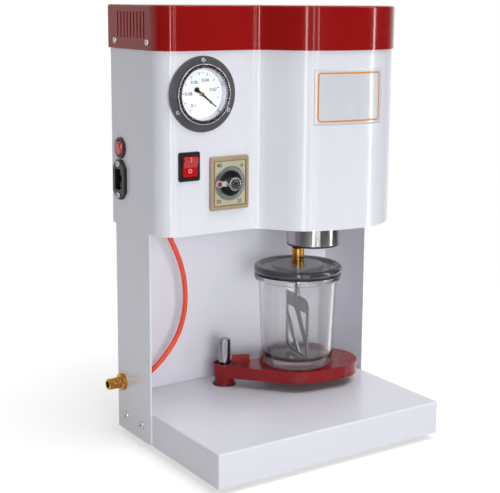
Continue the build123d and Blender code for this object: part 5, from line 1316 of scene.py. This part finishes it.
@dataclass
class BlankPlate:
    """A blank silver panel with an orange outline, on the head's round front. Lengths are millimetres."""

    left: float = 6.9
    right: float = 95.0
    low: float = 376.8
    high: float = 439.2
    columns: int = 72
    rows: int = 24
    film_t: float = 0.12
    line_w: float = 1.9
    line_inset: float = 3.6
    corner_r: float = 4.2
    least_corner_r: float = 1.0
    corner_steps: int = 7
    side_steps: int = 26
    line_t: float = 0.08
    clear: float = 10.0

    def build(self) -> list[bpy.types.Object]:
        """Lay the panel, then its outline.

        Returns:
            The panel and the outline.
        """
        shell = Print("head_shell", self.clear)
        x, z = np.meshgrid(np.linspace(self.left, self.right, self.columns),
                           np.linspace(self.low, self.high, self.rows))
        film = shell.lay("blank_plate_film", x, z, False, self.film_t, Dressing("root", "face", LABEL_FILM))
        outer = self.round_rectangle(self.line_inset)
        inner = self.round_rectangle(self.line_inset + self.line_w)
        share = np.linspace(0, 1, 3)[:, None, None]
        band = outer[None, :, :] * (1 - share) + inner[None, :, :] * share
        line = shell.lay("blank_plate_outline", band[:, :, 0], band[:, :, 1], True,
                         self.film_t + self.line_t, Dressing("root", "face", ORANGE_INK))
        return [film, line]

    def round_rectangle(self, inset: float) -> np.ndarray:
        """A rectangle with quarter circles at its corners, run from the upper right one.

        Args:
            inset: Distance inside the panel's edge.

        Returns:
            Rows of X and Z, as many for every inset.
        """
        radius = max(self.corner_r - (inset - self.line_inset), self.least_corner_r)
        x0, x1 = self.left + inset + radius, self.right - inset - radius
        z0, z1 = self.low + inset + radius, self.high - inset - radius
        middles = np.array([(x1, z1), (x0, z1), (x0, z0), (x1, z0)])
        turn = np.linspace(0, np.pi / 2, self.corner_steps)
        share = np.linspace(0, 1, self.side_steps + 2)[1:-1, None]
        parts = []
        for number, middle in enumerate(middles):
            angle = turn + number * np.pi / 2
            corner = middle + radius * np.column_stack([np.cos(angle), np.sin(angle)])
            along = middles[(number + 1) % 4] - middle
            parts += [corner, corner[-1] + share * along]
        return np.vstack(parts)


@dataclass
class Studio:
    """A wide pale floor, two soft lamps and a white sky.

    Eyes and glass see the sky white all round. Mirrors see it white behind and above the object, and
    in front a dim room with upright light strips.
    """

    floor_half: float = 0.75
    floor_colour: Colour = (0.72, 0.72, 0.72)
    floor_glow: float = 0.5
    sky_white: float = 1.0
    sky_fill: float = 0.28
    suns: Sequence[tuple[float, Point, float]] = (
        (1.55, (-0.25, -1.0, 0.06), 34.0), (1.6, (0.2, -0.35, 1.0), 44.0))
    room_level: float = 0.1
    white_behind: Pair = (0.05, 0.45)
    white_above: Pair = (0.45, 0.8)
    strip_core: float = 0.6
    strips: Sequence[Point] = (
        (-122.0, 2.4, 16.0), (-107.0, 1.4, 8.0), (-99.0, 1.0, 12.0), (-38.0, 2.2, 20.0))

    def build(self) -> None:
        """Set up floor, sky and lamps."""
        self.floor()
        self.sky()
        self.lamps()
        bpy.context.scene.view_settings.view_transform = "Standard"

    def floor(self) -> None:
        """A pale matt floor that shows whiter to eyes, mirrors and glass than it gives light."""
        half = self.floor_half
        mesh = bpy.data.meshes.new("studio_floor")
        corners = [(-half, -half, 0), (half, -half, 0), (half, half, 0), (-half, half, 0)]
        mesh.from_pydata(corners, [], [(0, 1, 2, 3)])
        floor = bpy.data.objects.new("studio_floor", mesh)
        bpy.context.scene.collection.objects.link(floor)
        made = bpy.data.materials.new("studio_floor_paint")
        made.use_nodes = True
        made.node_tree.nodes.clear()
        tree = Tree(made.node_tree)
        matt = tree.add("BsdfDiffuse", Color=self.floor_colour)
        strength = self.seen(tree, self.floor_glow, self.floor_glow, 0.0)
        glow = tree.add("Emission", Color=(1, 1, 1), Strength=strength)
        both = tree.add("AddShader")
        tree.feed(both, 0, matt.outputs[0])
        tree.feed(both, 1, glow.outputs[0])
        tree.add("OutputMaterial", Surface=both.outputs[0])
        mesh.materials.append(made)

    @staticmethod
    def seen(tree: Tree, shown: Setting, mirrored: Setting, hidden: Setting) -> Socket:
        """Tell rays that show the background from mirrors and from the light that it gives.

        Args:
            tree: The tree that gets the nodes.
            shown: The value for camera and transmission rays.
            mirrored: The value for glossy rays.
            hidden: The value for every other ray.

        Returns:
            The value's socket.
        """
        path = tree.add("LightPath").outputs
        glossy = path["Is Glossy Ray"]
        direct = tree.math("MAXIMUM", path["Is Camera Ray"], path["Is Transmission Ray"])
        direct = tree.math("MULTIPLY", direct, tree.math("SUBTRACT", 1.0, glossy))
        rest = tree.math("SUBTRACT", tree.math("SUBTRACT", 1.0, direct), glossy)
        return tree.total((direct, shown), (glossy, mirrored), (rest, hidden))

    def sky(self) -> None:
        """White for the eye, dimmer as a light, and the room for mirrors."""
        world = bpy.data.worlds.new("studio_sky")
        world.use_nodes = True
        world.node_tree.nodes.clear()
        tree = Tree(world.node_tree)
        strength = self.seen(tree, self.sky_white, self.room(tree), self.sky_fill)
        light = tree.add("Background", Color=(1, 1, 1), Strength=strength)
        tree.add("OutputWorld", Surface=light.outputs[0])
        bpy.context.scene.world = world

    def room(self, tree: Tree) -> Socket:
        """What a mirror sees: a dim room in front, white behind and above, and upright light strips.

        Args:
            tree: The sky's tree.

        Returns:
            The socket of its strength.
        """
        way = tree.add("SeparateXYZ", Vector=tree.add("TexCoord").outputs["Generated"])
        across, deep, up = way.outputs[0], way.outputs[1], way.outputs[2]
        white = self.sky_white - self.room_level
        behind = tree.span(deep, *self.white_behind, 0.0, white)
        above = tree.span(up, *self.white_above, 0.0, white)
        strength = tree.math("ADD", self.room_level, tree.math("MAXIMUM", behind, above))
        turn = tree.math("ARCTAN2", deep, across)
        for bearing, half_width, level in self.strips:
            apart = tree.math("ABSOLUTE", tree.math("SUBTRACT", turn, math.radians(bearing)))
            edge = math.radians(half_width)
            strip = tree.span(apart, edge * self.strip_core, edge, level, 0.0)
            strength = tree.math("ADD", strength, strip)
        return strength

    def lamps(self) -> None:
        """Soft distant lamps, each given by strength, where it stands and how wide it looks."""
        for number, (strength, place, angle) in enumerate(self.suns):
            data = bpy.data.lights.new(f"soft_lamp_{number}", "SUN")
            data.energy = strength
            data.angle = math.radians(angle)
            lamp = bpy.data.objects.new(f"soft_lamp_{number}", data)
            bpy.context.scene.collection.objects.link(lamp)
            lamp.visible_glossy = False
            lamp.rotation_mode = "QUATERNION"
            lamp.rotation_quaternion = Vector(place).to_track_quat("Z", "Y")


@dataclass
class PhotoCamera:
    """The camera, fitted to straight edges of the real machine."""

    place: Point = (-0.75659, -1.07704, 0.51567)
    yaw_deg: float = 33.597
    pitch_deg: float = 10.237
    roll_deg: float = -0.393
    lens: float = 83.09
    sensor: float = 36.0
    shift: Pair = (0.0, -0.08)
    reach: Pair = (0.05, 60.0)

    def axes(self) -> Matrix:
        """Work out where the camera's own axes point, turned by yaw, then pitch, then roll.

        Returns:
            Columns of right, up and backward.
        """
        yaw, pitch, roll = (math.radians(v) for v in (self.yaw_deg, self.pitch_deg, self.roll_deg))
        ahead = Vector((math.sin(yaw) * math.cos(pitch), math.cos(yaw) * math.cos(pitch), -math.sin(pitch)))
        level = Vector((math.cos(yaw), -math.sin(yaw), 0.0))
        down = ahead.cross(level)
        right = level * math.cos(roll) + down * math.sin(roll)
        down = down * math.cos(roll) - level * math.sin(roll)
        return Matrix((right, -down, -ahead)).transposed()

    def build(self) -> None:
        """Create the camera and make it the scene's."""
        data = bpy.data.cameras.new("photo_camera")
        data.lens = self.lens
        data.sensor_width = self.sensor
        data.sensor_fit = "HORIZONTAL"
        data.shift_x, data.shift_y = self.shift
        data.clip_start, data.clip_end = self.reach
        camera = bpy.data.objects.new("photo_camera", data)
        bpy.context.scene.collection.objects.link(camera)
        camera.matrix_world = Matrix.Translation(self.place) @ self.axes().to_4x4()
        bpy.context.scene.camera = camera


def dress_frame() -> None:
    """Give each sub-part of the construction its finish."""
    for finish, nodes in DRESS.items():
        for node in nodes:
            mesh = bpy.data.objects[node].data
            mesh.materials.clear()
            mesh.materials.append(finish.material())
            LOG.info("frame: %s is %s", node, finish.name)


def main() -> None:
    """Build everything in order and report each piece."""
    logging.basicConfig(level=logging.INFO, format="%(name)s %(message)s")
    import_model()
    dress_frame()
    for assembly in (VacuumHose(), VacuumGauge(), PowerSwitch(), CountdownTimer(), BlankPlate()):
        for piece in assembly.build():
            LOG.info("%s: %s", type(assembly).__name__, piece.name)
    Studio().build()
    PhotoCamera().build()


if __name__ == "__main__":
    main()
